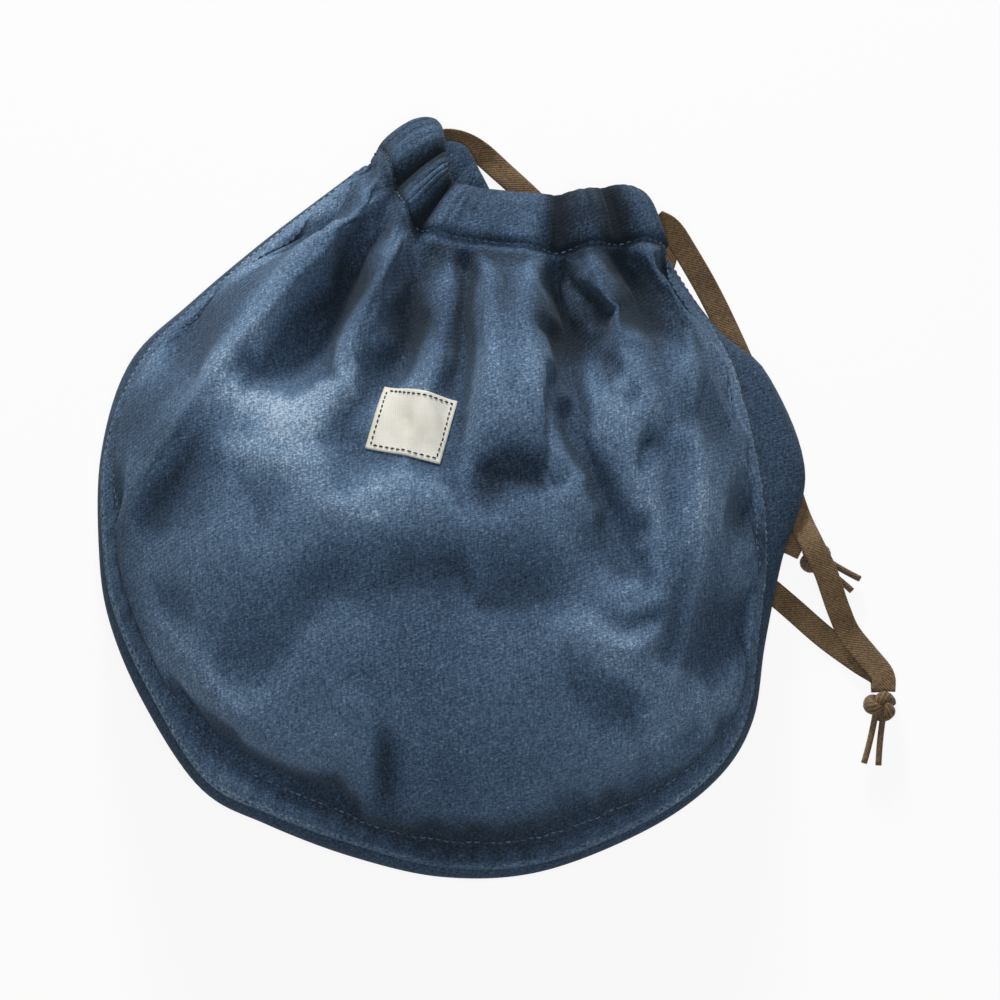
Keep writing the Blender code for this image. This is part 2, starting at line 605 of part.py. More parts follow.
def main():
    clear_scene()
    denim = fabric("washed denim", DENIM, 0.9)
    denim_back = fabric("washed denim back", DENIM_BACK, 0.9)
    brown = fabric("brown cotton tape", TAPE_BROWN, 0.8)
    cream = fabric("cream label cotton", LABEL_CREAM, 0.8)
    seam, stand, outward, line = seam_line()
    ruffle = by_gather(np.array([g[2] for g in GATHERS]) * MM)
    front_mouth, front = front_rows(seam, outward, line, ruffle)
    back_mouth, back = back_rows(seam, stand, outward, front, ruffle)
    front_panel = sheet("front_panel", front, denim, CLOTH)
    sheet("back_panel", back, denim_back, CLOTH, inside_out=True)
    label(front_panel, cream)
    fold = fold_at(0.0)
    none = np.zeros_like(fold)
    outer_front = tunnel(front_mouth, OUTER_TAPE_AT, fold)
    outer_back = tunnel(back_mouth, OUTER_TAPE_AT, none)
    inner_front = tunnel(front_mouth, INNER_TAPE_AT, fold)
    inner_back = tunnel(back_mouth, INNER_TAPE_AT, none)
    drawstring("drawstring_right", RIGHT_LEG_FRONT, reverse(outer_front), outer_back,
               RIGHT_LEG_BACK, brown)
    drawstring("drawstring_left", LEFT_LEG_FRONT, inner_front, reverse(inner_back),
               LEFT_LEG_BACK, brown)
    knot("knot_right", RIGHT_KNOT_AT, RIGHT_KNOT_HEADING, RIGHT_TAIL, brown)
    knot("knot_left", LEFT_KNOT_AT, LEFT_KNOT_HEADING, LEFT_TAIL, brown)
    for piece in bpy.data.objects:
        if piece.parent is None:
            piece.location += FOOTPRINT_SHIFT


main()
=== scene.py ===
import math

import bmesh
import bpy
import numpy as np
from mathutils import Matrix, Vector
from mathutils.bvhtree import BVHTree


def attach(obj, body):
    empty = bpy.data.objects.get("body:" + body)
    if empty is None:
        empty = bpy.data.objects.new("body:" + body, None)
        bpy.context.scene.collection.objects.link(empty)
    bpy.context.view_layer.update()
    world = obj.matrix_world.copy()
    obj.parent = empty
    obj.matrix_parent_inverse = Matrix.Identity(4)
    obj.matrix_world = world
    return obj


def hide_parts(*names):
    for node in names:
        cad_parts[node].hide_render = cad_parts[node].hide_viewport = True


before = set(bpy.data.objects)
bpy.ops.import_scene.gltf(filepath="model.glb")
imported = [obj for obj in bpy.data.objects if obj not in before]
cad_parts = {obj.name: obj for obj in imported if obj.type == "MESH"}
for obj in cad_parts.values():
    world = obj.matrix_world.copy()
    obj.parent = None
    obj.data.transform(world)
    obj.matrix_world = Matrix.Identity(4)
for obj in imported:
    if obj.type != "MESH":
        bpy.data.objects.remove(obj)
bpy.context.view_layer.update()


# Pattern of the pouch
# Two wide U-shaped panels of washed denim are sewn together round the U, and the straight tops
# are drawn in by the tapes. Every line of the lying pouch is given here in millimetres.
MM = 0.001
CLOTH = 1.2 * MM
FIT_GAP = 0.3 * MM
FELL_WIDTH = 10.0 * MM
HEM_TAIL = 3.0 * MM
TAPE_WIDTH = 10.0 * MM
TAPE_THICKNESS = 1.0 * MM
CHANNEL_DEPTH = 24.0 * MM
TUNNEL_HALF = 2.4 * MM
OUTER_TAPE_AT = 6.4 * MM
INNER_TAPE_AT = 17.2 * MM
FOOTPRINT_SHIFT = np.array([1.15, -2.4, 0.0]) * MM

# Each side of the mouth: places on its edge, and below them where the channel stitch runs
FRONT_MOUTH = [
    ((-11.0, 157.0, 15.0), (-32.0, 149.0, 14.0)), ((-8.0, 160.0, 20.0), (-30.0, 150.5, 20.0)),
    ((-6.0, 156.0, 25.5), (-29.0, 146.0, 25.5)), ((-5.0, 146.0, 29.0), (-28.0, 136.0, 31.0)),
    ((-4.0, 137.0, 30.0), (-23.0, 122.0, 35.0)), ((0.0, 131.0, 30.5), (-12.0, 110.0, 37.0)),
    ((7.5, 128.5, 30.5), (3.0, 104.0, 38.0)), ((19.0, 127.0, 30.5), (18.0, 102.0, 38.0)),
    ((36.0, 125.5, 30.0), (38.0, 100.0, 38.0)), ((53.0, 128.0, 28.0), (58.0, 102.0, 35.0)),
    ((66.0, 131.0, 25.0), (74.0, 107.0, 30.0)), ((74.0, 131.0, 21.0), (84.0, 109.0, 24.0)),
    ((78.0, 129.5, 16.5), (89.0, 108.0, 18.0)),
]
BACK_MOUTH = [
    ((-8.0, 158.0, 6.8), (-29.0, 144.0, 6.0)), ((3.0, 155.0, 6.6), (-18.0, 140.0, 6.0)),
    ((10.0, 143.0, 6.6), (-9.0, 126.0, 6.0)), ((17.0, 131.0, 6.6), (2.0, 111.0, 6.0)),
    ((28.0, 124.0, 6.6), (20.0, 100.0, 6.0)), ((45.0, 122.5, 6.6), (44.0, 98.0, 6.0)),
    ((62.0, 124.5, 6.6), (67.0, 100.0, 6.0)), ((73.0, 127.5, 6.8), (84.0, 104.0, 6.2)),
]
# Places round the seam, and how far the back stands out beyond each
SEAM = [
    ((-40.5, 143.0, 14.0), 2.0), ((-79.0, 111.0, 17.0), 3.0), ((-110.0, 83.0, 18.0), 3.5),
    ((-133.0, 57.0, 20.0), 5.0), ((-146.0, 20.0, 22.0), 2.5), ((-146.0, -20.0, 23.0), 2.5),
    ((-140.0, -50.0, 25.0), 3.5), ((-124.5, -83.0, 27.0), 4.5), ((-102.0, -118.0, 26.0), 3.5),
    ((-76.0, -132.0, 25.0), 3.5), ((-40.0, -145.0, 25.0), 4.0), ((-3.0, -154.0, 22.0), 3.0),
    ((36.0, -152.0, 19.0), 2.5), ((79.0, -135.0, 18.0), 2.5), ((107.0, -115.0, 20.0), 2.5),
    ((121.0, -92.0, 22.0), 3.0), ((126.0, -60.0, 22.0), 3.5), ((130.0, -25.0, 22.0), 7.0),
    ((127.5, 10.0, 23.0), 20.0), ((119.0, 50.0, 22.0), 14.0), ((111.0, 69.0, 19.0), 4.0),
    ((101.0, 86.0, 16.0), 1.5), ((92.0, 100.0, 15.0), 1.5),
]
# Each gather: shares of the way along the mouth and the seam, ruffle, height of its fold, and
# the share of the way to the seam at which the fold has died away
GATHERS = [
    (0.00, 0.000, 0.0, 0.0, 0.30), (0.07, 0.140, 3.0, -1.5, 0.40), (0.14, 0.262, 5.0, 6.0, 0.95),
    (0.20, 0.336, 0.0, -7.0, 0.50), (0.26, 0.420, 6.0, 8.0, 0.62), (0.32, 0.485, -0.6, -9.0, 0.50),
    (0.37, 0.540, 6.0, 7.0, 0.80), (0.43, 0.565, 4.0, 5.0, 0.40), (0.51, 0.600, 4.5, 6.0, 0.50),
    (0.60, 0.631, 6.0, 9.0, 0.85), (0.69, 0.687, -0.6, -10.0, 0.62), (0.78, 0.740, 6.0, 7.0, 0.60),
    (0.85, 0.810, -0.6, -8.0, 0.50), (0.92, 0.875, 5.0, 4.0, 0.55), (1.00, 1.000, 0.0, 0.0, 0.30),
]
COLUMNS_PER_GATHER = 18


def distance_along(line):
    """The distance along a line of points at each of them."""
    return np.concatenate([[0], np.cumsum(np.linalg.norm(np.diff(line, axis=0), axis=1))])


def resampled(values, along, wanted):
    """Values that are known at distances along a line, read at the wanted distances."""
    return np.stack([np.interp(wanted, along, values[:, k]) for k in range(values.shape[1])], -1)


def smooth_curve(points, steps=12):
    """A smooth curve through the points, and the distance along it of each of its samples."""
    p = np.asarray(points, float)
    ends = np.vstack([2 * p[0] - p[1], p, 2 * p[-1] - p[-2]])
    out = []
    for a, b, c, d in zip(ends[:-3], ends[1:-2], ends[2:-1], ends[3:]):
        for t in np.linspace(0, 1, steps, endpoint=False):
            out.append(0.5 * (2 * b + (c - a) * t + (2 * a - 5 * b + 4 * c - d) * t * t
                              + (3 * b - a - 3 * c + d) * t ** 3))
    out.append(p[-1])
    out = np.array(out)
    return out, distance_along(out[:, :3])


def at_share(curve, share):
    """Points of a smooth curve at shares of its length."""
    samples, along = curve
    return resampled(samples, along, np.asarray(share) * along[-1])


def unit(v):
    """Vectors of length one."""
    return v / np.maximum(np.linalg.norm(v, axis=-1, keepdims=True), 1e-12)


def ease(x):
    """A soft step from 0 to 1."""
    x = np.clip(x, 0.0, 1.0)
    return x * x * (3 - 2 * x)


def between_gathers():
    """For every column of cloth, the gather to its left and the share of the way to the next."""
    position = np.arange((len(GATHERS) - 1) * COLUMNS_PER_GATHER + 1) / COLUMNS_PER_GATHER
    left = np.minimum(position.astype(int), len(GATHERS) - 2)
    return left, position - left


def by_gather(values):
    """One value per gather, softly blended into one value per column."""
    values = np.asarray(values, float)
    left, part = between_gathers()
    return values[left] * (1 - ease(part)) + values[left + 1] * ease(part)


def column_shares(index):
    """A share that is given per gather, smoothly spread over the columns."""
    values = np.array([g[index] for g in GATHERS])
    left, part = between_gathers()
    return values[left] * (1 - part) + values[left + 1] * part


def fold_height(q):
    """Height of the gathers' own folds on every column at a share of the way to the seam."""
    height = np.array([g[3] for g in GATHERS]) * MM
    reach = np.array([g[4] for g in GATHERS])
    growth = 0.35 + 0.65 * ease(np.asarray(q) / 0.16)
    return by_gather(height * growth * (1 - ease(q / reach)))


class Mouth:
    """One side of the gathered channel: its edge line, the way its depth runs and its outside."""

    def __init__(self, stations, outside):
        edge = smooth_curve([np.array(a) * MM for a, b in stations])
        foot = smooth_curve([np.array(b) * MM for a, b in stations])
        share = column_shares(0)
        self.edge = at_share(edge, share)
        self.down = unit(at_share(foot, share) - self.edge)
        along = unit(np.gradient(self.edge, axis=0))
        self.out = unit(np.cross(self.down, along)) * outside

    def middle(self, depth, fold):
        """The middle of the tunnel at a depth below the edge."""
        start = OUTER_TAPE_AT + TAPE_WIDTH / 2
        share = np.clip((depth - start) / (CHANNEL_DEPTH - start), 0.0, 1.2)
        return self.edge + self.down * depth + self.out * (fold * share)[:, None]


def channel_rows(mouth, ruffle, fold):
    """Rows of the folded-over channel, from the hem inside, over the edge, to the stitch."""
    sewn = (CLOTH + FIT_GAP) / 2
    last_open = INNER_TAPE_AT + TAPE_WIDTH / 2
    full = TUNNEL_HALF
    section = [
        (CHANNEL_DEPTH + HEM_TAIL, -1, sewn, 0.0), (CHANNEL_DEPTH + HEM_TAIL / 4, -1, sewn, 0.0),
        (last_open, -1, full, 0.1), (CHANNEL_DEPTH * 0.5, -1, full, 0.5),
        (CHANNEL_DEPTH * 0.2, -1, full, 0.4), (0.0, -1, 0.75 * full, 0.2), (-CLOTH, 1, 0.0, 0.2),
        (0.0, 1, 0.75 * full, 0.5), (CHANNEL_DEPTH * 0.2, 1, full, 0.9),
        (CHANNEL_DEPTH * 0.5, 1, full, 1.0), (last_open, 1, full, 0.4),
        (CHANNEL_DEPTH + HEM_TAIL / 4, 1, sewn, 0.0),
    ]
    rows = []
    for depth, side, half, ruffled in section:
        lift = half + ruffle * ruffled
        rows.append(mouth.middle(depth, fold) + mouth.out * (side * lift)[:, None])
    smooth = [smooth_curve(np.array(rows)[:, k], 4)[0] for k in range(len(ruffle))]
    return list(np.array(smooth).transpose(1, 0, 2))


SEAM_CURVE = smooth_curve([tuple(np.array(p) * MM) + (stand * MM,) for p, stand in SEAM])
SEAM_SHARE = column_shares(1)
SEAM_HERE = at_share(SEAM_CURVE, SEAM_SHARE)
AHEAD = (at_share(SEAM_CURVE, np.clip(SEAM_SHARE + 0.01, 0, 1))
         - at_share(SEAM_CURVE, np.clip(SEAM_SHARE - 0.01, 0, 1)))
SEAM_OUTWARD = unit(np.stack([AHEAD[:, 1], -AHEAD[:, 0], np.zeros(len(AHEAD))], -1))
SEAM_POINTS = SEAM_HERE[:, :3]
SEAM_STAND = SEAM_HERE[:, 3]
# Between broad ruffles the cloth is drawn into narrow, deep pleats, with finer ones on each ruffle
FULL_RUFFLE = 6.0
RUFFLE_HEIGHT = 6.5 * MM
FINE_PLEAT = 1.0 * MM
FINE_PLEAT_EVERY = 6.5
full_ruffle = np.clip(by_gather([g[2] / FULL_RUFFLE for g in GATHERS]), 0, 1)
column = np.arange(len(full_ruffle))
fine_pleats = np.sin(2 * math.pi * column / FINE_PLEAT_EVERY + 3.5 * np.sin(column / 13.0))
fine_pleats *= 0.6 + 0.4 * np.sin(column / 9.3)
# The box pleat's cloth runs up over the channel flat, with hardly any fine pleats
pleated = by_gather([1, 1, 1, 1, 1, 1, 1, 0.3, 0.1, 0.3, 1, 1, 1, 1, 1])
RUFFLE = RUFFLE_HEIGHT * full_ruffle ** 0.45 + FINE_PLEAT * fine_pleats * full_ruffle * pleated


# Front panel
# The upper piece of denim: its top edge is folded in for the channel, its gathers fan out into
# folds that die away over the soft filling, and its U-shaped edge is the outer lap of the seam.
BELLY_RISE = 55.0 * MM
BELLY_SHOULDER = 50.0 * MM
FRONT_ROWS = 96
LAP_ROWS = 7

# Folds that the gathers send down over the filling: places on the cloth, with height and
# half width at each place, all in millimetres, and how crisp the crest is
FOLDS = [
    ("left ridge", 1.0, [(-17, 139, 1, 4), (-35, 120, 4, 5), (-44, 108, 5, 6), (-67, 80, 6, 7),
                         (-90, 52, 7, 7), (-114, 17, 7, 7), (-137, -11, 2, 6)]),
    ("left hollow", 2.2, [(-29, 114, -3, 6), (-37, 100, -10, 9), (-46, 81, -20, 13),
                          (-56, 62, -28, 17), (-65, 44, -25, 19), (-73, 28, -14, 20),
                          (-80, 8, -1, 18)]),
    ("second ridge", 1.0, [(-18, 112, 3, 3), (-27, 92, 5, 4), (-36, 72, 7, 5), (-44, 52, 7, 6),
                           (-49, 34, 5, 7), (-54, 16, 1, 8)]),
    ("middle hollow", 2.0, [(-8, 104, -4, 5), (-13, 80, -11, 8), (-18, 60, -16, 11),
                            (-24, 42, -17, 15), (-32, 22, -15, 17), (-40, 2, -8, 17),
                            (-45, -16, -1, 16)]),
    ("pleat's left side", 2.4, [(4, 106, -6, 4), (5, 92, -10, 5), (5, 74, -13, 6),
                                (4, 48, -14, 7), (0, 26, -11, 10), (-6, 6, -6, 12),
                                (-12, -12, -1, 12)]),
    ("box pleat", 7.0, [(22, 106, 2, 15), (23, 80, 5, 16), (24, 60, 7, 16), (24, 40, 8, 16),
                        (23, 22, 6, 16), (22, 4, 0, 17)]),
    ("pleat's foot", 2.0, [(0, -4, -1, 14), (14, -10, -3, 17), (30, -8, -3, 17), (44, -2, -1, 14)]),
    ("middle dip", 2.0, [(-40, -44, -1, 18), (-18, -42, -4, 20), (8, -44, -5, 22), (34, -46, -4, 20),
                         (56, -52, -1, 16)]),
    ("third hollow", 1.8, [(43, 108, -7, 4), (43, 98, -12, 5), (43, 84, -17, 6),
                           (45, 62, -22, 7), (48, 36, -22, 8), (53, 10, -20, 10),
                           (61, -14, -18, 13), (70, -34, -11, 15), (76, -52, -1, 14)]),
    ("third hollow's lip", 1.1, [(39, 56, 1, 3), (42, 34, 4, 4), (45, 12, 5, 4), (52, -10, 4, 5),
                                 (60, -30, 1, 6)]),
    ("low belly", 2.0, [(-60, -84, 1, 26), (-20, -92, 4, 30), (30, -94, 4, 30), (70, -86, 1, 24)]),
    ("fourth ridge", 1.0, [(56, 104, 3, 3), (60, 88, 6, 4), (65, 72, 7, 5), (72, 50, 6, 6),
                           (80, 30, 4, 7), (86, 18, 1, 7)]),
    ("fourth hollow", 1.8, [(65, 110, -4, 5), (72, 90, -9, 7), (77, 72, -11, 9),
                            (82, 54, -9, 10), (87, 36, -5, 10), (91, 18, -1, 10)]),
    ("right ridge", 1.4, [(72, 122, 1, 5), (82, 104, 3, 6), (91, 81, 5, 7), (98, 56, 5, 8),
                          (101, 18, 6, 8), (101, -24, 6, 9), (96, -64, 4, 10), (86, -92, 1, 12)]),
    ("hollow's lip", 1.4, [(52, -58, 1, 8), (62, -68, 4, 8), (74, -70, 5, 8), (88, -58, 1, 8)]),
    ("lower left crest", 1.2, [(-120, -50, 1, 8), (-106, -72, 5, 10), (-88, -92, 8, 10),
                               (-68, -107, 7, 10), (-49, -115, 1, 9)]),
    ("lower left hollow", 1.8, [(-122, -74, -2, 7), (-104, -98, -8, 8), (-82, -116, -10, 8),
                                (-56, -128, -8, 8), (-34, -128, -1, 8)]),
    ("bottom tuck", 1.6, [(-40, -92, 1, 7), (-37, -110, 3, 7), (-34, -128, 1, 7)]),
    ("bottom tuck foot", 1.6, [(-29, -94, -1, 7), (-27, -112, -4, 7), (-26, -130, -1, 7)]),
]
# Where the label is sewn on, how far round it the cloth is held, and at what fold height (mm)
LABEL_AT = (-16.5 * MM, 21.0 * MM)
LABEL_HOLD = 21.0 * MM
LABEL_LEVEL = -9.0


def distance_to_line(points, line):
    """Distance in plan from each point to a line of points, and the nearest place along it."""
    best = np.full(len(points), 1e9)
    where = np.zeros(len(points))
    for k, (a, b) in enumerate(zip(line[:-1], line[1:])):
        step = b[:2] - a[:2]
        t = np.clip(((points[:, :2] - a[:2]) @ step) / max(step @ step, 1e-12), 0, 1)
        gap = np.linalg.norm(points[:, :2] - (a[:2] + t[:, None] * step), axis=1)
        near = gap < best
        best[near] = gap[near]
        where[near] = k + t[near]
    return best, where


def fold_lift(points):
    """Height in metres that all the folds add at points given in metres."""
    total = np.zeros(len(points))
    flat = points / MM
    for _, crispness, places in FOLDS:
        line = smooth_curve(np.array(places, float), 4)[0]
        reach = 4 * line[:, 3].max()
        low, high = line[:, :2].min(0) - reach, line[:, :2].max(0) + reach
        near = np.all((flat[:, :2] > low) & (flat[:, :2] < high), axis=1)
        gap, where = distance_to_line(flat[near], line)
        step = np.arange(len(line))
        height = np.interp(where, step, line[:, 2])
        width = np.interp(where, step, line[:, 3])
        total[near] += height * np.exp(-np.abs(gap / width) ** crispness)
    # The sewn label holds the cloth beneath it nearly flat
    from_label = np.linalg.norm(points[:, :2] - LABEL_AT, axis=1)
    held = np.exp(-(from_label / LABEL_HOLD) ** 4)
    return MM * (total * (1 - held) + held * LABEL_LEVEL)


def filled(start, seam, q):
    """The cloth over the filling, at a share of the way from the channel stitch to the seam."""
    share = SEAM_SHARE
    wedge = np.maximum(1 - ease(share / 0.25), 1 - ease((1 - share) / 0.16))
    length = np.linalg.norm(seam - start, axis=1)
    bend = -SEAM_OUTWARD * (0.22 * wedge * length)[:, None]
    flat = start + (seam - start) * q[:, None] + bend * np.sin(np.pi * q)[:, None]
    gap, _ = distance_to_line(flat, SEAM_CURVE[0])
    rise = BELLY_RISE * np.tanh(gap / BELLY_SHOULDER) * np.sin(np.pi / 2 * np.clip(q / 0.5, 0, 1))
    out = flat.copy()
    out[:, 2] += rise
    return out, gap


def front_surface():
    """The front's mouth, rows of points of the whole panel, and how many are the channel's."""
    mouth = Mouth(FRONT_MOUTH, 1.0)
    rows = channel_rows(mouth, RUFFLE, fold_height(0.0))
    start = rows[-1] - mouth.out * fold_height(0.0)[:, None]
    length = np.linalg.norm(SEAM_POINTS - start, axis=1)
    lap = np.minimum(FELL_WIDTH, 0.4 * length) / length
    channel_count = len(rows)
    free = []
    shares = np.linspace(0, 1, FRONT_ROWS + 1)[1:]
    for share in list(shares) + list(1 + np.linspace(0, 1, LAP_ROWS + 1)[1:]):
        q = np.where(share <= 1, share * (1 - lap), 1 - lap * (2 - share))
        row, gap = filled(start, SEAM_POINTS, q)
        row[:, 2] += fold_height(min(share, 1.0))
        free.append(ease(share / 0.05) * ease(gap / (22 * MM)))
        rows.append(row)
    grid = np.array(rows)
    body = grid[channel_count:]
    lift = fold_lift(body.reshape(-1, 3)).reshape(body.shape[:2])
    body[:, :, 2] += lift * np.array(free)
    return mouth, grid, channel_count


def grid_normals(grid):
    """Unit normals of a grid of points, on the side that is outside for the front."""
    return unit(np.cross(np.gradient(grid, axis=0), np.gradient(grid, axis=1)))


def placed(name, data):
    """Adds an object to the scene."""
    piece = bpy.data.objects.new(name, data)
    bpy.context.scene.collection.objects.link(piece)
    return piece


def cloth_grid(name, grid, inside_out=False):
    """A smooth quad mesh over a grid of points."""
    rows, columns = grid.shape[:2]
    index = np.arange(rows * columns).reshape(rows, columns)
    a, b, c, d = index[:-1, :-1], index[:-1, 1:], index[1:, 1:], index[1:, :-1]
    corners = (a, b, c, d) if inside_out else (a, d, c, b)
    faces = np.stack([k.ravel() for k in corners], -1)
    mesh = bpy.data.meshes.new(name)
    mesh.from_pydata((grid.reshape(-1, 3) + FOOTPRINT_SHIFT).tolist(), [], faces.tolist())
    mesh.shade_smooth()
    return placed(name, mesh)


def point_values(piece, name, values):
    """Stores one number per point of the cloth for its material to read."""
    attribute = piece.data.attributes.new(name, "FLOAT", "POINT")
    attribute.data.foreach_set("value", np.asarray(values, np.float32).ravel())


def thick(piece, thickness):
    """Gives a sheet its real thickness, half to each side."""
    wall = piece.modifiers.new("cloth thickness", "SOLIDIFY")
    wall.thickness = thickness
    wall.offset = 0.0
    wall.use_even_offset = False


def smoothly(values, rows, columns):
    """Spreads a coarse grid of values evenly over a finer one."""
    across = np.linspace(0, values.shape[1] - 1, columns)
    down = np.linspace(0, values.shape[0] - 1, rows)
    wide = np.array([[np.interp(across, np.arange(len(line)), line) for line in values[:, :, k]]
                     for k in range(values.shape[2])])
    tall = np.array([[np.interp(down, np.arange(wide.shape[1]), wide[k, :, c])
                      for c in range(columns)] for k in range(values.shape[2])])
    return tall.transpose(2, 1, 0)


def evened(values, passes):
    """The same grid of values with its small variations smoothed out."""
    wide = values.copy()
    for _ in range(passes):
        wide[1:-1] = (wide[:-2] + 2 * wide[1:-1] + wide[2:]) / 4
        wide[:, 1:-1] = (wide[:, :-2] + 2 * wide[:, 1:-1] + wide[:, 2:]) / 4
    return wide


def loose_cloth(body):
    """How a panel cut a little larger than its frame, and held at its edges, wrinkles."""
    coarse = body[::COARSE, ::COARSE]
    trial = cloth_grid("trial_cloth", coarse)
    rows, columns = coarse.shape[:2]
    index = np.arange(rows * columns).reshape(rows, columns)
    sewn = np.concatenate([index[:2].ravel(), index[-3:].ravel(), index[:, 0], index[:, -1]])
    trial.vertex_groups.new(name="sewn").add(np.unique(sewn).tolist(), 1.0, "REPLACE")
    cloth = trial.modifiers.new("cloth", "CLOTH")
    cloth.settings.quality = 6
    cloth.settings.tension_stiffness = 25
    cloth.settings.compression_stiffness = 25
    cloth.settings.shear_stiffness = 10
    cloth.settings.bending_stiffness = 1.5
    cloth.settings.shrink_min = -CLOTH_SPARE
    cloth.settings.vertex_group_mass = "sewn"
    cloth.settings.effector_weights.gravity = 0.0
    cloth.collision_settings.use_collision = False
    cloth.point_cache.frame_end = CLOTH_FRAMES
    for step in range(1, CLOTH_FRAMES + 1):
        bpy.context.scene.frame_set(step)
    settled = trial.evaluated_get(bpy.context.evaluated_depsgraph_get()).data
    found = np.empty(rows * columns * 3)
    settled.vertices.foreach_get("co", found)
    moved = found.reshape(rows, columns, 3) - FOOTPRINT_SHIFT - coarse
    bpy.data.objects.remove(trial)
    bpy.context.scene.frame_set(1)
    # Only the wrinkles are kept: the filling sets how far the whole cloth swells
    moved -= evened(moved, SWELL_PASSES)
    far = np.linalg.norm(moved, axis=2, keepdims=True)
    moved *= np.minimum(1.0, CLOTH_MOVE_CAP / np.maximum(far, 1e-9))
    return smoothly(moved, *body.shape[:2])


COARSE = 3
CLOTH_SPARE = 0.05
CLOTH_FRAMES = 24
CLOTH_MOVE_CAP = 4.0 * MM
SWELL_PASSES = 12

front_mouth, front_grid, front_channel = front_surface()
front_grid[front_channel:] += loose_cloth(front_grid[front_channel:])

# The felled seam is three layers thick, and its stitches draw it into small puckers
SEAM_RIDGE = 0.8 * MM
PUCKER = 0.45 * MM
PUCKER_EVERY = 11.0 * MM
round_seam = distance_along(SEAM_POINTS)
puckers = np.sin(2 * math.pi * round_seam / PUCKER_EVERY + 2.5 * np.sin(round_seam / (5 * PUCKER_EVERY)))
lap_window = np.sin(math.pi * np.linspace(0.15, 1.0, LAP_ROWS + 1))[:, None, None]
lap_lift = SEAM_RIDGE * (1 - np.linspace(0, 1, LAP_ROWS + 1)[:, None, None] ** 4)
front_grid[-1 - LAP_ROWS:] += grid_normals(front_grid)[-1 - LAP_ROWS:] * (
    lap_lift + PUCKER * puckers[None, :, None] * lap_window)
front_panel = cloth_grid("front_denim", front_grid)
thick(front_panel, CLOTH)


def hex_colour(code):
    """An sRGB hex colour as linear values with alpha."""
    parts = [int(code[k:k + 2], 16) / 255 for k in (0, 2, 4)]
    return [p / 12.92 if p <= 0.04045 else ((p + 0.055) / 1.055) ** 2.4 for p in parts] + [1.0]


def add(tree, kind, links=(), stops=(), **settings):
    """Adds a node, sets its properties, inputs and ramp stops, and links (input, socket) pairs."""
    node = tree.nodes.new(kind)
    for key, value in settings.items():
        if key.startswith("in_"):
            node.inputs[int(key[3:])].default_value = value
        else:
            setattr(node, key, value)
    for _ in stops[2:]:
        node.color_ramp.elements.new(0.5)
    for k, (place, colour) in enumerate(stops):
        node.color_ramp.elements[k].position = place
        node.color_ramp.elements[k].color = hex_colour(colour)
    for where, socket in links:
        tree.links.new(socket, node.inputs[where])
    return node


def new_material(name):
    """A plain material with its node tree, its shader and the places on the piece in metres."""
    material = bpy.data.materials.new(name)
    material.use_nodes = True
    tree = material.node_tree
    place = add(tree, "ShaderNodeTexCoord").outputs["Object"]
    return material, tree, tree.nodes["Principled BSDF"], place


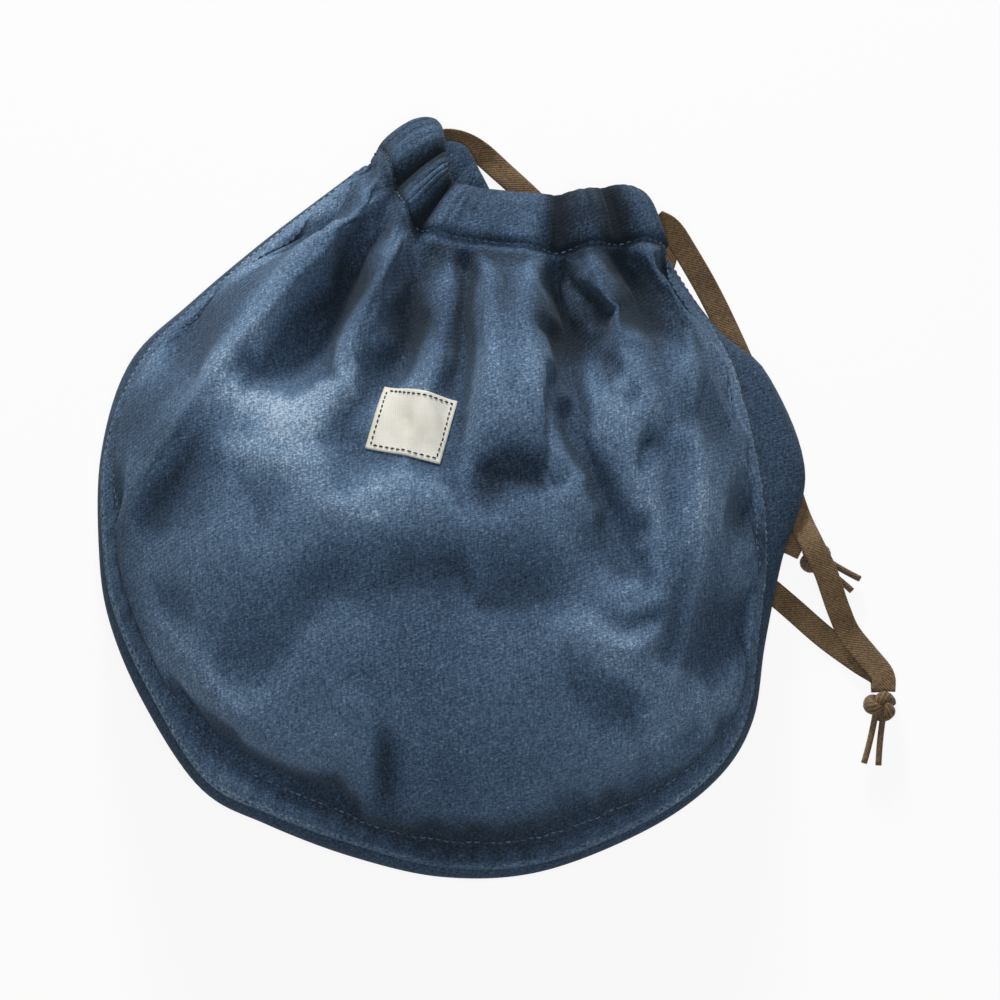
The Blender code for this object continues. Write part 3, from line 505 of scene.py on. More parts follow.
def washed_denim(name):
    """Washed indigo denim, a 3/1 twill with blue warp over white weft: soft and matt, with
    pale flecks where the weft shows and paler crests and edges from wear. Its colour also
    carries painted highlights on lit slopes and painted shade in hollows and dark slopes."""
    material, tree, shader, place = new_material(name)
    # The real twill lines are 0.9 mm apart and are drawn 1.8 mm apart, so that they show
    twill = add(tree, "ShaderNodeMapping", [(0, place)], in_2=(0, 0, math.radians(63)))
    lines = add(tree, "ShaderNodeTexWave", [(0, twill.outputs[0])], wave_type="BANDS",
                bands_direction="X", in_1=0.314 / 0.0018, in_2=2.6, in_3=2.0, in_4=1.6)
    # White weft flecks about 1 mm wide, warp slubs about 4 mm long, and fading 40 mm wide
    weft = add(tree, "ShaderNodeMapping", [(0, place)], in_3=(900, 1500, 1100))
    flecks = add(tree, "ShaderNodeTexNoise", [(0, weft.outputs[0])], in_2=1.0, in_3=3.0, in_4=0.7)
    warp = add(tree, "ShaderNodeMapping", [(0, place)], in_3=(1300, 260, 400))
    slubs = add(tree, "ShaderNodeTexNoise", [(0, warp.outputs[0])], in_2=1.0, in_3=2.0, in_4=0.5)
    clouds = add(tree, "ShaderNodeTexNoise", [(0, place)], in_2=26.0, in_3=3.0, in_4=0.6)
    worn = add(tree, "ShaderNodeAttribute", attribute_name="worn")
    speck = add(tree, "ShaderNodeMath", [(0, flecks.outputs[0])], operation="MULTIPLY", in_1=1.15)
    streak = add(tree, "ShaderNodeMath", [(0, slubs.outputs[0]), (2, speck.outputs[0])],
                 operation="MULTIPLY_ADD", in_1=0.45)
    patch = add(tree, "ShaderNodeMath", [(0, clouds.outputs[0]), (2, streak.outputs[0])],
                operation="MULTIPLY_ADD", in_1=0.22)
    thread = add(tree, "ShaderNodeMath", [(0, lines.outputs["Fac"]), (2, patch.outputs[0])],
                 operation="MULTIPLY_ADD", in_1=0.05)
    # Wear, painted highlights and painted shade move the colour along the ramp
    faded_and_painted_light = add(tree, "ShaderNodeMath", [(0, worn.outputs["Fac"]), (2, thread.outputs[0])],
                operation="MULTIPLY_ADD", in_1=0.34)
    level = add(tree, "ShaderNodeMapRange", [(0, faded_and_painted_light.outputs[0])], in_1=0.30, in_2=1.45)
    colours = add(tree, "ShaderNodeValToRGB", [(0, level.outputs[0])],
                  stops=[(0.0, "141B24"), (0.24, "1F2A37"), (0.52, "3E526A"), (0.75, "627B96"),
                         (0.95, "A3B3C2")])
    tree.links.new(colours.outputs[0], shader.inputs["Base Color"])
    shader.inputs["Roughness"].default_value = 0.92
    shader.inputs["IOR"].default_value = 1.45
    shader.inputs["Specular IOR Level"].default_value = 0.2
    shader.inputs["Sheen Weight"].default_value = 0.12
    shader.inputs["Sheen Roughness"].default_value = 0.5
    shader.inputs["Sheen Tint"].default_value = hex_colour("9FB4C8")
    height = add(tree, "ShaderNodeMath", [(0, lines.outputs["Fac"]), (2, flecks.outputs[0])],
                 operation="MULTIPLY_ADD", in_1=0.22)
    fine = add(tree, "ShaderNodeBump", [("Height", height.outputs[0])], in_0=0.6, in_1=0.0005)
    crumple = add(tree, "ShaderNodeTexNoise", [(0, place)], in_2=150.0, in_3=4.0, in_4=0.65)
    soft = add(tree, "ShaderNodeBump", [("Height", crumple.outputs[0]),
                                        ("Normal", fine.outputs[0])], in_0=0.35, in_1=0.0018)
    tree.links.new(soft.outputs[0], shader.inputs["Normal"])
    return material


def wear_of(grid):
    """How far the cloth has paled with wear: crests that stand proud of their surroundings are paler."""
    height = grid[:, :, 2]
    return np.clip((height - evened(height, 30)) / (1.2 * MM), -1, 1)


def sewing_thread(name, dark, light):
    """Spun cotton thread: matt, with short darker and paler lengths where it is rubbed."""
    material, tree, shader, place = new_material(name)
    rubbed = add(tree, "ShaderNodeTexNoise", [(0, place)], in_2=260.0, in_3=3.0, in_4=0.6)
    colours = add(tree, "ShaderNodeValToRGB", [(0, rubbed.outputs[0])],
                  stops=[(0.38, dark), (0.68, light)])
    tree.links.new(colours.outputs[0], shader.inputs["Base Color"])
    shader.inputs["Roughness"].default_value = 0.85
    shader.inputs["Specular IOR Level"].default_value = 0.3
    return material


def stitches(name, line, outward, pitch, material):
    """A row of lockstitches: short rounded threads that lie on the cloth along a line."""
    along = distance_along(line)
    verts, faces = [], []
    turn = np.linspace(0, 2 * math.pi, 6, endpoint=False)
    for start in np.arange(0.5 * pitch, along[-1] - pitch, pitch):
        wanted = start + np.linspace(0, STITCH_SHARE * pitch, 5)
        spot = resampled(line, along, wanted)
        up = unit(resampled(outward, along, wanted))
        side = unit(np.cross(up, np.gradient(spot, axis=0)))
        for k, thick_share in enumerate((0.4, 0.9, 1.0, 0.9, 0.4)):
            base = len(verts)
            centre = spot[k] + up[k] * THREAD * (thick_share - 0.55)
            verts += [centre + THREAD / 2 * thick_share * (side[k] * math.cos(a) + up[k] * math.sin(a))
                      for a in turn]
            if k:
                faces += [(base - 6 + j, base - 6 + (j + 1) % 6, base + (j + 1) % 6, base + j)
                          for j in range(6)]
        faces += [tuple(range(base - 19, base - 25, -1)), tuple(range(base, base + 6))]
    mesh = bpy.data.meshes.new(name)
    mesh.from_pydata((np.array(verts) + FOOTPRINT_SHIFT).tolist(), [], faces)
    mesh.shade_smooth()
    mesh.materials.append(material)
    piece = placed(name, mesh)
    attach(piece, "root")
    return piece


THREAD = 0.7 * MM
STITCH_SHARE = 0.72
SEAM_PITCH = 3.2 * MM

# Places (mm), reach and strength of painted light and shade on the front: positive strengths are painted
# highlights on lit slopes, negative ones painted shade in hollows and on slopes turned from the light
PAINTED_LIGHT_AND_SHADE = [(-73, 30, 24, 0.6), (-38, -14, 18, 0.2), (100, -10, 16, 0.3), (-44, 84, 20, -0.8),
          (-12, 68, 16, -1.0), (45, 66, 12, -1.2), (78, 80, 26, -1.2), (62, 122, 20, -1.4),
          (25, -6, 26, -0.5), (-20, -45, 40, -0.2), (-125, 25, 28, -0.6), (0, -146, 60, -0.6),
          (22, 74, 16, -0.5), (125, -20, 14, -0.7), (10, 118, 40, -0.5), (-20, 145, 24, -0.6)]

denim = washed_denim("washed indigo denim")
front_panel.data.materials.append(denim)
front_wear_and_painted_light = 0.5 * wear_of(front_grid)
# Painted highlights and painted shade are added to the wear at the listed places
for x, y, reach, strength in PAINTED_LIGHT_AND_SHADE:
    apart = np.linalg.norm(front_grid[:, :, :2] / MM - (x, y), axis=2)
    front_wear_and_painted_light += strength * np.exp(-(apart / reach) ** 2)
# Painted shade: the channel's narrow pleats between the ruffles are made darker
front_wear_and_painted_light[:front_channel] -= 1.2 * (1 - full_ruffle) ** 1.5
front_wear_and_painted_light[front_channel - 2:front_channel + 1] += 0.8 * full_ruffle
front_wear_and_painted_light[-2:] += 0.7
point_values(front_panel, "worn", front_wear_and_painted_light)

front_face = front_grid + grid_normals(front_grid) * CLOTH / 2
front_out = grid_normals(front_grid)
blue_thread = sewing_thread("washed blue cotton thread", "2F3D4B", "6A7E92")
lap_start = len(front_grid) - 1 - LAP_ROWS
front_stitches = [
    stitches("channel_stitches", front_face[front_channel - 1], front_out[front_channel - 1],
             SEAM_PITCH, blue_thread),
    stitches("seam_stitches_outer", front_face[-2], front_out[-2], SEAM_PITCH, blue_thread),
    stitches("seam_stitches_inner", front_face[lap_start], front_out[lap_start], SEAM_PITCH,
             blue_thread)]
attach(front_panel, "root")
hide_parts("front_panel")


# Back panel
# The lower piece of denim: it lies along the table, turns up at the sides and is lapped under
# the front panel's edge. On the right the free tapes run beneath it and hold it up a little.
LIFT_OFF_LEFT = 45.0 * MM
LIFT_OFF_RIGHT = 105.0 * MM
TAPE_LIFT = 3.4 * MM
TAPE_SIDE_AT = 68.0 * MM
TAPE_SIDE_FADE = 35.0 * MM
TAPE_SIDE_TURN = math.radians(23)
# The back's ruffles and the height of its turned-up side, as shares of the front's and the seam's
BACK_RUFFLE = 0.35
SIDE_HEIGHT = 0.55


def over_tapes(row):
    """Holds the back off the table where the free tapes run beneath it."""
    past = row[:, 0] * math.cos(TAPE_SIDE_TURN) + row[:, 1] * math.sin(TAPE_SIDE_TURN) - TAPE_SIDE_AT
    held = CLOTH / 2 + TAPE_LIFT * ease((past + TAPE_SIDE_FADE) / TAPE_SIDE_FADE)
    row[:, 2] = np.maximum(row[:, 2], held)
    return row


def back_surface(front):
    """The back's mouth, and rows of points of the whole back panel."""
    mouth = Mouth(BACK_MOUTH, -1.0)
    rows = channel_rows(mouth, RUFFLE * BACK_RUFFLE, np.zeros(len(RUFFLE)))
    start = rows[-1]
    side = SEAM_POINTS + SEAM_OUTWARD * SEAM_STAND[:, None]
    side[:, 2] = SEAM_POINTS[:, 2] * SIDE_HEIGHT
    length = np.linalg.norm(side - start, axis=1)
    right = ease((SEAM_SHARE - 0.62) / 0.25)
    inward = np.minimum(LIFT_OFF_LEFT * (1 - right) + LIFT_OFF_RIGHT * right, 0.55 * length)
    low = CLOTH / 2 + 5.0 * MM * (1 - ease(length / (140 * MM)))
    way = unit(unit((start - side) * np.array([1, 1, 0])) - 1.5 * SEAM_OUTWARD)
    lift_off = side + way * inward[:, None]
    lift_off[:, 2] = low
    for q in np.linspace(0, 1, 13)[1:]:
        row = start + (lift_off - start) * q
        row[:, 2] = low + (start[:, 2] - low) * max(0.0, 1 - q / 0.30) ** 2
        rows.append(over_tapes(row))
    for degrees in np.linspace(90, 0, 13)[1:]:
        angle = math.radians(degrees)
        row = side + way * (inward * (1 - math.cos(angle)))[:, None]
        row[:, 2] = low + (side[:, 2] - low) * (1 - math.sin(angle)) ** 0.7
        rows.append(over_tapes(row))
    under = (CLOTH + 3 * FIT_GAP) * grid_normals(front)
    edge = front[-1] - under[-1]
    for t in (0.25, 0.5, 0.75):
        bulge = (0.2 * SEAM_STAND + 0.4 * MM) * math.sin(math.pi * t)
        rows.append(side * (1 - t) + edge * t + SEAM_OUTWARD * bulge[:, None])
    for k in range(1, LAP_ROWS + 1):
        rows.append(front[-k] - under[-k])
    return mouth, np.array(rows)


back_mouth, back_grid = back_surface(front_grid)
back_panel = cloth_grid("back_denim", back_grid, inside_out=True)
thick(back_panel, CLOTH)
back_panel.data.materials.append(denim)
# Painted shade: the whole back panel is made darker than the front
back_painted_shade = np.full(back_grid.shape[:2], -0.5)
point_values(back_panel, "worn", back_painted_shade)
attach(back_panel, "root")
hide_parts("back_panel")


# Sewn label
# A small rectangle of cream cotton, left bare, sewn to the front round its border with dark
# thread. It follows the cloth beneath it.
LABEL_SIZE = (31.0 * MM, 29.0 * MM)
LABEL_THICKNESS = 0.6 * MM
LABEL_TURN = math.radians(-14)
LABEL_STEPS = 32
LABEL_BORDER = 2.0 * MM
LABEL_PITCH = 2.6 * MM


def label_grid(cloth):
    """A grid of points laid on the cloth where the label is sewn."""
    bpy.context.view_layer.update()
    tree = BVHTree.FromObject(cloth, bpy.context.evaluated_depsgraph_get())
    grid = []
    for v in np.linspace(0.5, -0.5, LABEL_STEPS):
        row = []
        for h in np.linspace(-0.5, 0.5, LABEL_STEPS):
            x, y = h * LABEL_SIZE[0], v * LABEL_SIZE[1]
            px = LABEL_AT[0] + x * math.cos(LABEL_TURN) - y * math.sin(LABEL_TURN)
            py = LABEL_AT[1] + x * math.sin(LABEL_TURN) + y * math.cos(LABEL_TURN)
            spot, normal, _, _ = tree.ray_cast(Vector((px, py, 1.0)) + Vector(FOOTPRINT_SHIFT),
                                               Vector((0, 0, -1)))
            row.append(np.array(spot + normal * (LABEL_THICKNESS / 2 + 0.2 * MM)) - FOOTPRINT_SHIFT)
        grid.append(row)
    return np.array(grid)


def plain_cotton(name):
    """Bleached cotton in plain weave: matt, cream, with an even grid of fine threads."""
    material, tree, shader, place = new_material(name)
    # The real threads are about 0.4 mm apart and are drawn 0.8 mm apart, so that they show
    across = add(tree, "ShaderNodeTexWave", [(0, place)], bands_direction="X", in_1=1 / 0.0025,
                 in_2=0.6, in_3=2.0)
    down = add(tree, "ShaderNodeTexWave", [(0, place)], bands_direction="Y", in_1=1 / 0.0025,
               in_2=0.6, in_3=2.0)
    weave = add(tree, "ShaderNodeMath", operation="MULTIPLY",
                links=[(0, across.outputs["Fac"]), (1, down.outputs["Fac"])])
    stain = add(tree, "ShaderNodeTexNoise", [(0, place)], in_2=90.0, in_3=3.0)
    mixed = add(tree, "ShaderNodeMath", operation="MULTIPLY_ADD", in_1=0.25,
                links=[(0, weave.outputs[0]), (2, stain.outputs[0])])
    colours = add(tree, "ShaderNodeValToRGB", [(0, mixed.outputs[0])],
                  stops=[(0.3, "C6C2B6"), (0.8, "D8D6CE")])
    tree.links.new(colours.outputs[0], shader.inputs["Base Color"])
    shader.inputs["Roughness"].default_value = 0.85
    shader.inputs["Specular IOR Level"].default_value = 0.25
    bump = add(tree, "ShaderNodeBump", [("Height", weave.outputs[0])], in_0=0.3, in_1=0.0003)
    tree.links.new(bump.outputs[0], shader.inputs["Normal"])
    return material


label_points = label_grid(front_panel)
label = cloth_grid("label_cloth", label_points)
thick(label, LABEL_THICKNESS)
label.data.materials.append(plain_cotton("plain woven cream cotton"))
label_out = grid_normals(label_points)
label_face = label_points + label_out * LABEL_THICKNESS / 2
inset = round(LABEL_BORDER / LABEL_SIZE[0] * LABEL_STEPS)
far_side = LABEL_STEPS - 1 - inset
border = ([(inset, k) for k in range(inset, far_side)] + [(k, far_side) for k in range(inset, far_side)]
          + [(far_side, k) for k in range(far_side, inset, -1)]
          + [(k, inset) for k in range(far_side, inset - 1, -1)])
down, across = np.array(border).T
label_stitches = stitches("label_stitches", label_face[down, across], label_out[down, across],
                          LABEL_PITCH, sewing_thread("dark cotton thread", "1E242B", "4A545E"))
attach(label, "root")
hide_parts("label")


# Drawstrings
# Two flat tapes of brown cotton, 10 mm wide, woven in a fine twill. Each runs through both
# channels side by side with the other, and both of its ends come out at the same slit.
TURN_REACH = 4.0 * MM
TAPE_FINE = 1.5 * MM

# Free ends from the slit to the knot: place in millimetres, and how far the tape leans from
# lying flat (0) to standing on its edge (90 degrees)
RIGHT_LEG_FRONT = [
    (86.0, 123.0, 13.5, 60), (92.5, 118.0, 11.5, 30), (98.5, 109.0, 9.0, 15), (108.0, 93.0, 5.5, 5),
    (117.0, 75.0, 2.5, 0), (127.0, 52.0, 0.7, 0), (136.0, 28.0, 0.7, 0), (141.5, 9.0, 2.6, 0),
    (145.5, -6.0, 8.0, 0), (150.0, -18.0, 13.4, 0), (155.5, -29.0, 11.4, 0), (158.5, -37.0, 9.2, 0),
    (161.5, -45.0, 6.4, 0), (166.0, -54.5, 3.0, 0), (173.5, -64.5, 4.2, 0), (179.4, -73.0, 7.0, 0),
    (179.6, -79.9, 7.9, 0),
]
RIGHT_LEG_BACK = [
    (80.5, 121.5, 5.8, 0), (87.0, 118.0, 4.4, 0), (90.5, 110.5, 2.6, 0), (88.0, 101.5, 1.9, 0),
    (82.0, 92.5, 2.0, 0), (76.5, 80.0, 2.1, 0), (73.5, 66.0, 2.1, 0), (74.5, 51.0, 1.4, 0),
    (81.0, 36.0, 0.7, 0), (93.5, 18.0, 0.6, 0), (106.0, -5.0, 0.6, 0), (118.5, -23.5, 0.6, 0),
    (131.0, -34.0, 0.6, 0), (142.0, -43.5, 0.6, 0), (156.0, -56.0, 0.6, 0), (170.0, -66.5, 1.2, 0),
    (178.6, -73.0, 4.4, 0), (179.6, -79.9, 6.1, 0),
]
LEFT_LEG_FRONT = [
    (-28.0, 151.0, 9.5, 20), (-28.5, 150.0, 4.5, 20), (-26.5, 146.0, 1.4, 10), (-21.5, 138.0, 0.6, 0),
    (-8.0, 127.0, 0.6, 0), (13.0, 113.5, 0.6, 0), (40.0, 98.0, 0.6, 0), (64.0, 79.0, 0.6, 0),
    (87.0, 58.0, 0.6, 0), (104.5, 33.0, 0.6, 0), (114.0, 10.0, 0.6, 0), (121.5, -5.0, 0.6, 0),
    (131.0, -13.0, 0.8, 0), (140.0, -15.6, 3.0, 0), (147.0, -19.1, 4.7, 0),
]
LEFT_LEG_BACK = [
    (-26.5, 152.5, 6.0, 50), (-24.0, 157.0, 6.0, 90), (-14.0, 159.8, 6.0, 90), (-3.0, 161.5, 5.8, 75),
    (8.0, 156.5, 3.0, 30), (20.0, 146.5, 0.7, 0), (36.0, 131.0, 0.6, 0), (54.0, 110.5, 0.6, 0),
    (77.0, 90.0, 0.6, 0), (98.0, 68.0, 0.6, 0), (115.5, 41.0, 0.6, 0), (126.5, 13.0, 0.6, 0),
    (133.0, -1.0, 1.2, 0), (139.0, -11.0, 4.6, 0), (147.0, -19.1, 6.5, 0),
]


def leg_line(route):
    """Centre points and crossways directions of a free stretch of tape, evenly stepped."""
    route = np.array(route, float) * np.array([MM, MM, MM, math.pi / 180])
    samples, along = smooth_curve(route)
    wanted = np.linspace(0, along[-1], max(8, round(along[-1] / TAPE_FINE)))
    samples = resampled(samples, along, wanted)
    centre = samples[:, :3]
    centre[:, 2] = np.maximum(centre[:, 2], TAPE_THICKNESS / 2 + 0.1 * MM)
    ahead = unit(np.gradient(centre, axis=0))
    flat = unit(np.stack([-ahead[:, 1], ahead[:, 0], np.zeros(len(ahead))], -1))
    lean = samples[:, 3:]
    across = flat * np.cos(lean) + np.array([0.0, 0.0, 1.0]) * np.sin(lean)
    return centre, unit(across - ahead * (across * ahead).sum(1)[:, None])


def closed_piece(name, bm, material):
    """A smooth piece of one material from a finished bmesh."""
    bmesh.ops.recalc_face_normals(bm, faces=bm.faces[:])
    mesh = bpy.data.meshes.new(name)
    bm.to_mesh(mesh)
    bm.free()
    mesh.shade_smooth()
    mesh.materials.append(material)
    return placed(name, mesh)


def ribbon(name, centre, across, material):
    """A flat woven tape along a line: slightly crowned, with rounded selvedges."""
    ahead = unit(np.gradient(centre, axis=0))
    out = unit(np.cross(ahead, across))
    half = TAPE_WIDTH / 2
    thick_half = TAPE_THICKNESS / 2
    section = [(-1.0, 0.0), (-0.95, 0.7), (-0.8, 1.0), (-0.4, 0.9), (0.0, 0.85), (0.4, 0.9),
               (0.8, 1.0), (0.95, 0.7), (1.0, 0.0), (0.95, -0.7), (0.8, -1.0), (0.4, -0.9),
               (0.0, -0.85), (-0.4, -0.9), (-0.8, -1.0), (-0.95, -0.7)]
    rings = [centre + across * (a * half) + out * (b * thick_half) for a, b in section]
    points = np.stack(rings, 1) + FOOTPRINT_SHIFT
    count, around = points.shape[:2]
    bm = bmesh.new()
    verts = [[bm.verts.new(p) for p in ring] for ring in points]
    uv = bm.loops.layers.uv.new("tape")
    steps = distance_along(centre)
    widths = [a for a, _ in section]
    for k in range(count - 1):
        for j in range(around):
            n = (j + 1) % around
            face = bm.faces.new((verts[k][j], verts[k][n], verts[k + 1][n], verts[k + 1][j]))
            for loop, (kk, jj) in zip(face.loops, ((k, j), (k, n), (k + 1, n), (k + 1, j))):
                loop[uv].uv = (steps[kk] / MM, widths[jj] * half / MM)
    bm.faces.new(verts[0][::-1])
    bm.faces.new(verts[-1])
    return closed_piece(name, bm, material)


def cotton_twill_tape(name):
    """Brown cotton twill tape: matt and slightly fuzzy, with slanting ribs 1 mm apart."""
    material, tree, shader, place = new_material(name)
    map_uv = add(tree, "ShaderNodeUVMap", uv_map="tape").outputs[0]
    turned = add(tree, "ShaderNodeMapping", [(0, map_uv)], in_2=(0, 0, math.radians(45)))
    ribs = add(tree, "ShaderNodeTexWave", [(0, turned.outputs[0])], bands_direction="X",
               in_1=0.32, in_2=0.5, in_3=1.0)
    fuzz = add(tree, "ShaderNodeTexNoise", [(0, place)], in_2=900.0, in_3=3.0, in_4=0.6)
    clouds = add(tree, "ShaderNodeTexNoise", [(0, place)], in_2=60.0, in_3=3.0)
    first = add(tree, "ShaderNodeMath", operation="MULTIPLY_ADD", in_1=0.35,
                links=[(0, ribs.outputs["Fac"]), (2, fuzz.outputs[0])])
    second = add(tree, "ShaderNodeMath", operation="MULTIPLY_ADD", in_1=0.5,
                 links=[(0, clouds.outputs[0]), (2, first.outputs[0])])
    bring = add(tree, "ShaderNodeMapRange", [(0, second.outputs[0])], in_1=0.5, in_2=1.35)
    colours = add(tree, "ShaderNodeValToRGB", [(0, bring.outputs[0])],
                  stops=[(0.1, "3B2D1E"), (0.5, "675139"), (0.95, "8C7451")])
    tree.links.new(colours.outputs[0], shader.inputs["Base Color"])
    shader.inputs["Roughness"].default_value = 0.8
    shader.inputs["Specular IOR Level"].default_value = 0.3
    shader.inputs["Sheen Weight"].default_value = 0.15
    bump = add(tree, "ShaderNodeBump", [("Height", first.outputs[0])], in_0=0.5, in_1=0.0004)
    tree.links.new(bump.outputs[0], shader.inputs["Normal"])
    return material


def in_channel(mouth, depth, fold):
    """Centre and crossways direction of a tape in one side of the channel, left to right."""
    half = TAPE_WIDTH / 2
    first, second = mouth.middle(depth - half, fold), mouth.middle(depth + half, fold)
    return (first + second) / 2, unit(second - first)


def turned_tape(before, after):
    """The bend of a tape from the end of one side of the channel into the other."""
    (near, near_across), (far, far_across) = before, after
    leave = unit(near[-1] - near[-2]) * TURN_REACH
    enter = unit(far[1] - far[0]) * TURN_REACH
    centres, across = [], []
    for t in np.linspace(0, 1, 9)[1:-1]:
        centres.append((1 - t) ** 3 * near[-1] + 3 * (1 - t) ** 2 * t * (near[-1] + leave)
                       + 3 * (1 - t) * t * t * (far[0] - enter) + t ** 3 * far[0])
        across.append(unit(near_across[-1] * (1 - t) + far_across[0] * t))
    return np.array(centres), np.array(across)


def channel_stretch(name, first, second, material):
    """The hidden stretch of one tape, through one side of the channel and back by the other."""
    if np.dot(first[1][-1], second[1][0]) < 0:
        second = (second[0], -second[1])
    bend = turned_tape(first, second)
    centre = np.vstack([first[0], bend[0], second[0]])
    across = np.vstack([first[1], bend[1], second[1]])
    keep = np.concatenate([[0], np.arange(1, len(centre) - 1, 3), [len(centre) - 1]])
    return ribbon(name, centre[keep], across[keep], material)


def backwards(stretch):
    """The same stretch of tape, run from right to left."""
    return stretch[0][::-1], stretch[1][::-1]


tape_cotton = cotton_twill_tape("brown cotton twill tape")
front_fold = fold_height(0.0)
no_fold = np.zeros(len(front_fold))
right_hidden = channel_stretch("tape_right_in_channel",
                               backwards(in_channel(front_mouth, OUTER_TAPE_AT, front_fold)),
                               in_channel(back_mouth, OUTER_TAPE_AT, no_fold), tape_cotton)
left_hidden = channel_stretch("tape_left_in_channel",
                              in_channel(front_mouth, INNER_TAPE_AT, front_fold),
                              backwards(in_channel(back_mouth, INNER_TAPE_AT, no_fold)), tape_cotton)
legs = {}
for name, route in (("tape_right_front_leg", RIGHT_LEG_FRONT), ("tape_right_back_leg", RIGHT_LEG_BACK),
                    ("tape_left_front_leg", LEFT_LEG_FRONT), ("tape_left_back_leg", LEFT_LEG_BACK)):
    centre, across = leg_line(route)
    legs[name] = (ribbon(name, centre, across, tape_cotton), centre + FOOTPRINT_SHIFT)
for piece in [right_hidden, left_hidden] + [leg for leg, _ in legs.values()]:
    node = "drawstring_" + piece.name.split("_")[1]
    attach(piece, "root")
    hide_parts(node)


# Knots
# Both ends of each tape are tied together in one overhand knot, pulled tight, and the two short
# tails beyond it are folded lengthways by the pull.
KNOTS = (
    ("knot_right", (178.5, -86.0, 7.0), math.radians(-100), 24.5 * MM),
    ("knot_left", (152.0, -22.5, 5.6), math.radians(-34), 21.0 * MM),
)
KNOT_REACH = (5.6 * MM, 7.0 * MM, 5.4 * MM)
STRAND = (3.1 * MM, 2.1 * MM)
FOLDED_TAIL = (2.5 * MM, 1.3 * MM)


def overhand_turns(count):
    """Centre line of the tight loop of an overhand knot, on a unit scale."""
    t = np.linspace(-0.42 * math.pi, 1.42 * math.pi, count)
    x = (np.sin(t) + 2 * np.sin(2 * t)) / 3
    y = (np.cos(t) - 2 * np.cos(2 * t)) / 3
    z = -np.sin(3 * t) / 1.6
    return np.stack([x, y, z], -1)


def strand(bm, line, across_half, thick_half, uv):
    """Sweeps a squashed round section along a line and closes both ends."""
    ahead = unit(np.gradient(line, axis=0))
    centre = line.mean(0)
    out = unit(line - centre - ahead * ((line - centre) * ahead).sum(1)[:, None])
    side = np.cross(ahead, out)
    rings = []
    for k, p in enumerate(line):
        ring = []
        for a in np.linspace(0, 2 * math.pi, 12, endpoint=False):
            ring.append(bm.verts.new(p + side[k] * across_half * math.cos(a)
                                     + out[k] * thick_half * math.sin(a)))
        rings.append(ring)
    steps = distance_along(line)
    for k in range(len(rings) - 1):
        for j in range(12):
            n = (j + 1) % 12
            face = bm.faces.new((rings[k][j], rings[k][n], rings[k + 1][n], rings[k + 1][j]))
            for loop, (kk, jj) in zip(face.loops, ((k, j), (k, j + 1), (k + 1, j + 1), (k + 1, j))):
                loop[uv].uv = (steps[kk] / MM, 5.0 * jj / 6)
    bm.faces.new(rings[0][::-1])
    bm.faces.new(rings[-1])


def knot_piece(name, place, heading, tail_length):
    """The tied knot with both folded tails, as one mesh."""
    bm = bmesh.new()
    uv = bm.loops.layers.uv.new("tape")
    turns = overhand_turns(64) * np.array(KNOT_REACH) * 0.78
    strand(bm, turns, STRAND[0], STRAND[1], uv)
    for side in (-1, 1):
        reach = np.linspace(0, 1, 14)
        tail = np.stack([2 * MM + reach * (tail_length - 2 * MM),
                         side * (1.6 * MM + 1.4 * MM * reach ** 2),
                         -1.0 * MM - 1.6 * MM * reach + 0.5 * side * MM], -1)
        strand(bm, tail, FOLDED_TAIL[0], FOLDED_TAIL[1], uv)
    piece = closed_piece(name, bm, tape_cotton)
    piece.location = Vector(np.array(place) * MM + FOOTPRINT_SHIFT)
    piece.rotation_euler = (0, 0, heading)
    return piece


for node, place, heading, tail_length in KNOTS:
    knot = knot_piece("tied_" + node, place, heading, tail_length)
    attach(knot, "root")
    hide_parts(node)
    side = node.split("_")[1]
    for leg in ("front", "back"):
        piece, line = legs[f"tape_{side}_{leg}_leg"]


# Studio
# A white table lit low from beyond the mouth, as by a window, with a weaker lamp overhead, and
# the camera nearly straight above.
CAMERA_RISE = math.radians(80)
CAMERA_DISTANCE = 1.4
CAMERA_TARGET = Vector((0.02045, -0.0024, 0.015))
LAMP_TARGET = Vector((0, 0, 0.03))
TABLE_DROP = 0.2 * MM


def lamp(name, place, size, power, colour):
    """A square soft lamp that faces the pouch."""
    light = bpy.data.lights.new(name, "AREA")
    light.shape = "SQUARE"
    light.size = size
    light.energy = power
    light.color = colour
    holder = placed(name, light)
    holder.location = place
    holder.rotation_euler = (LAMP_TARGET - Vector(place)).to_track_quat("-Z", "Y").to_euler()


lamp("window", (-0.12, 1.48, 0.48), 0.35, 27.0, (1.0, 0.99, 0.97))
lamp("ceiling", (0.05, -0.30, 1.5), 0.6, 12.0, (0.96, 0.98, 1.0))

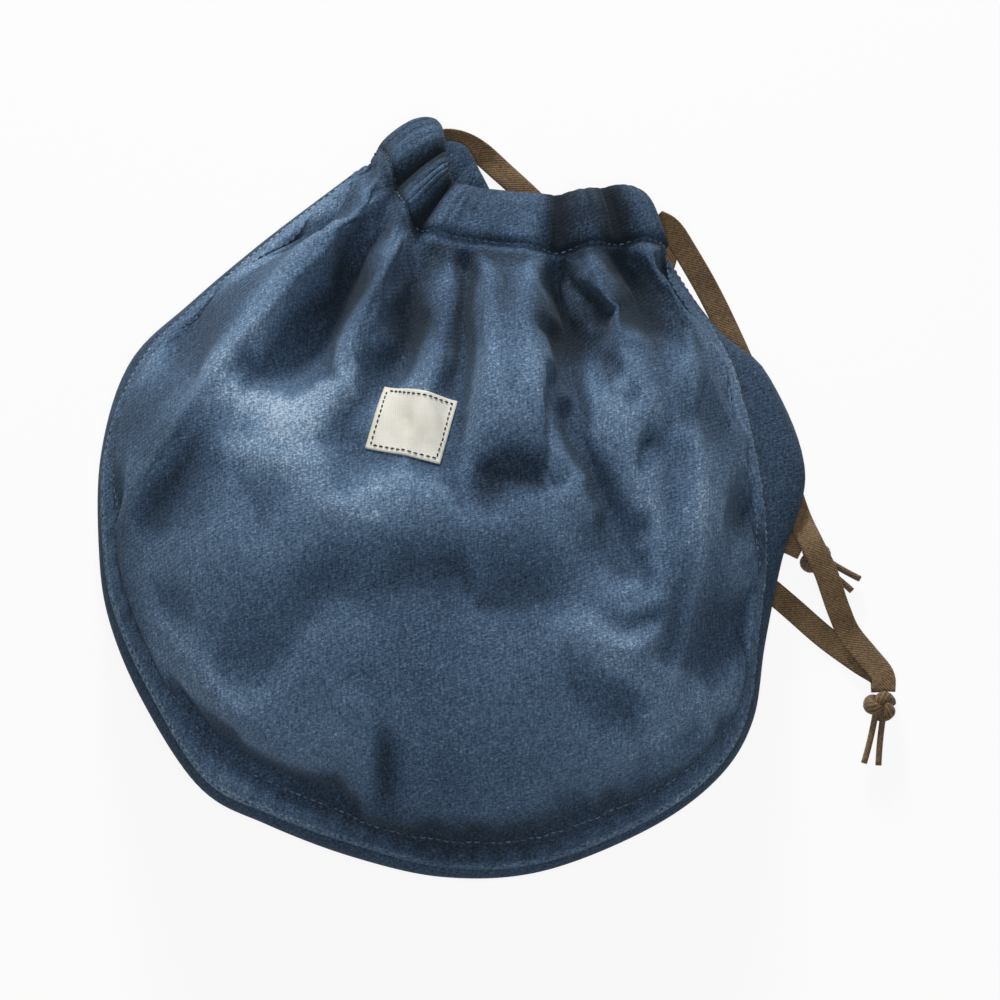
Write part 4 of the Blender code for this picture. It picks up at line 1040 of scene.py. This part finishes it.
floor_mesh = bpy.data.meshes.new("table_top")
floor_mesh.from_pydata([(-3, -3, 0), (3, -3, 0), (3, 3, 0), (-3, 3, 0)], [], [(0, 1, 2, 3)])
floor = placed("table_top", floor_mesh)
floor.location = (0, 0, -TABLE_DROP)
white_paper = bpy.data.materials.new("white paper")
white_paper.use_nodes = True
paper = white_paper.node_tree
paper.nodes["Principled BSDF"].inputs["Base Color"].default_value = (0.85, 0.85, 0.85, 1)
paper.nodes["Principled BSDF"].inputs["Roughness"].default_value = 0.9
# Seen directly or in a reflection the paper is plain white, and keeps a faint shadow
seen = add(paper, "ShaderNodeLightPath").outputs
any_view = add(paper, "ShaderNodeMath", [(0, seen["Is Camera Ray"]), (1, seen["Is Glossy Ray"])],
               operation="MAXIMUM")
any_view = add(paper, "ShaderNodeMath", [(0, any_view.outputs[0]), (1, seen["Is Transmission Ray"])],
               operation="MAXIMUM")
share = add(paper, "ShaderNodeMath", [(0, any_view.outputs[0])], operation="MULTIPLY", in_1=0.88)
glow = add(paper, "ShaderNodeEmission", in_0=(1, 1, 1, 1), in_1=1.0)
both = add(paper, "ShaderNodeMixShader", [(0, share.outputs[0]),
                                          (1, paper.nodes["Principled BSDF"].outputs[0]),
                                          (2, glow.outputs[0])])
paper.links.new(both.outputs[0], paper.nodes["Material Output"].inputs["Surface"])
floor_mesh.materials.append(white_paper)

world = bpy.data.worlds.new("room")
bpy.context.scene.world = world
world.use_nodes = True
world.node_tree.nodes["Background"].inputs[0].default_value = (1, 1, 1, 1)
world.node_tree.nodes["Background"].inputs[1].default_value = 0.08

camera_data = bpy.data.cameras.new("camera")
camera = placed("camera", camera_data)
camera_data.sensor_width = 36
camera_data.lens = 120
back = Vector((0, -math.cos(CAMERA_RISE), math.sin(CAMERA_RISE)))
camera.location = CAMERA_TARGET + back * CAMERA_DISTANCE
camera.rotation_mode = "QUATERNION"
camera.rotation_quaternion = (-back).to_track_quat("-Z", "Y")
bpy.context.scene.camera = camera
bpy.context.scene.view_settings.view_transform = "Standard"
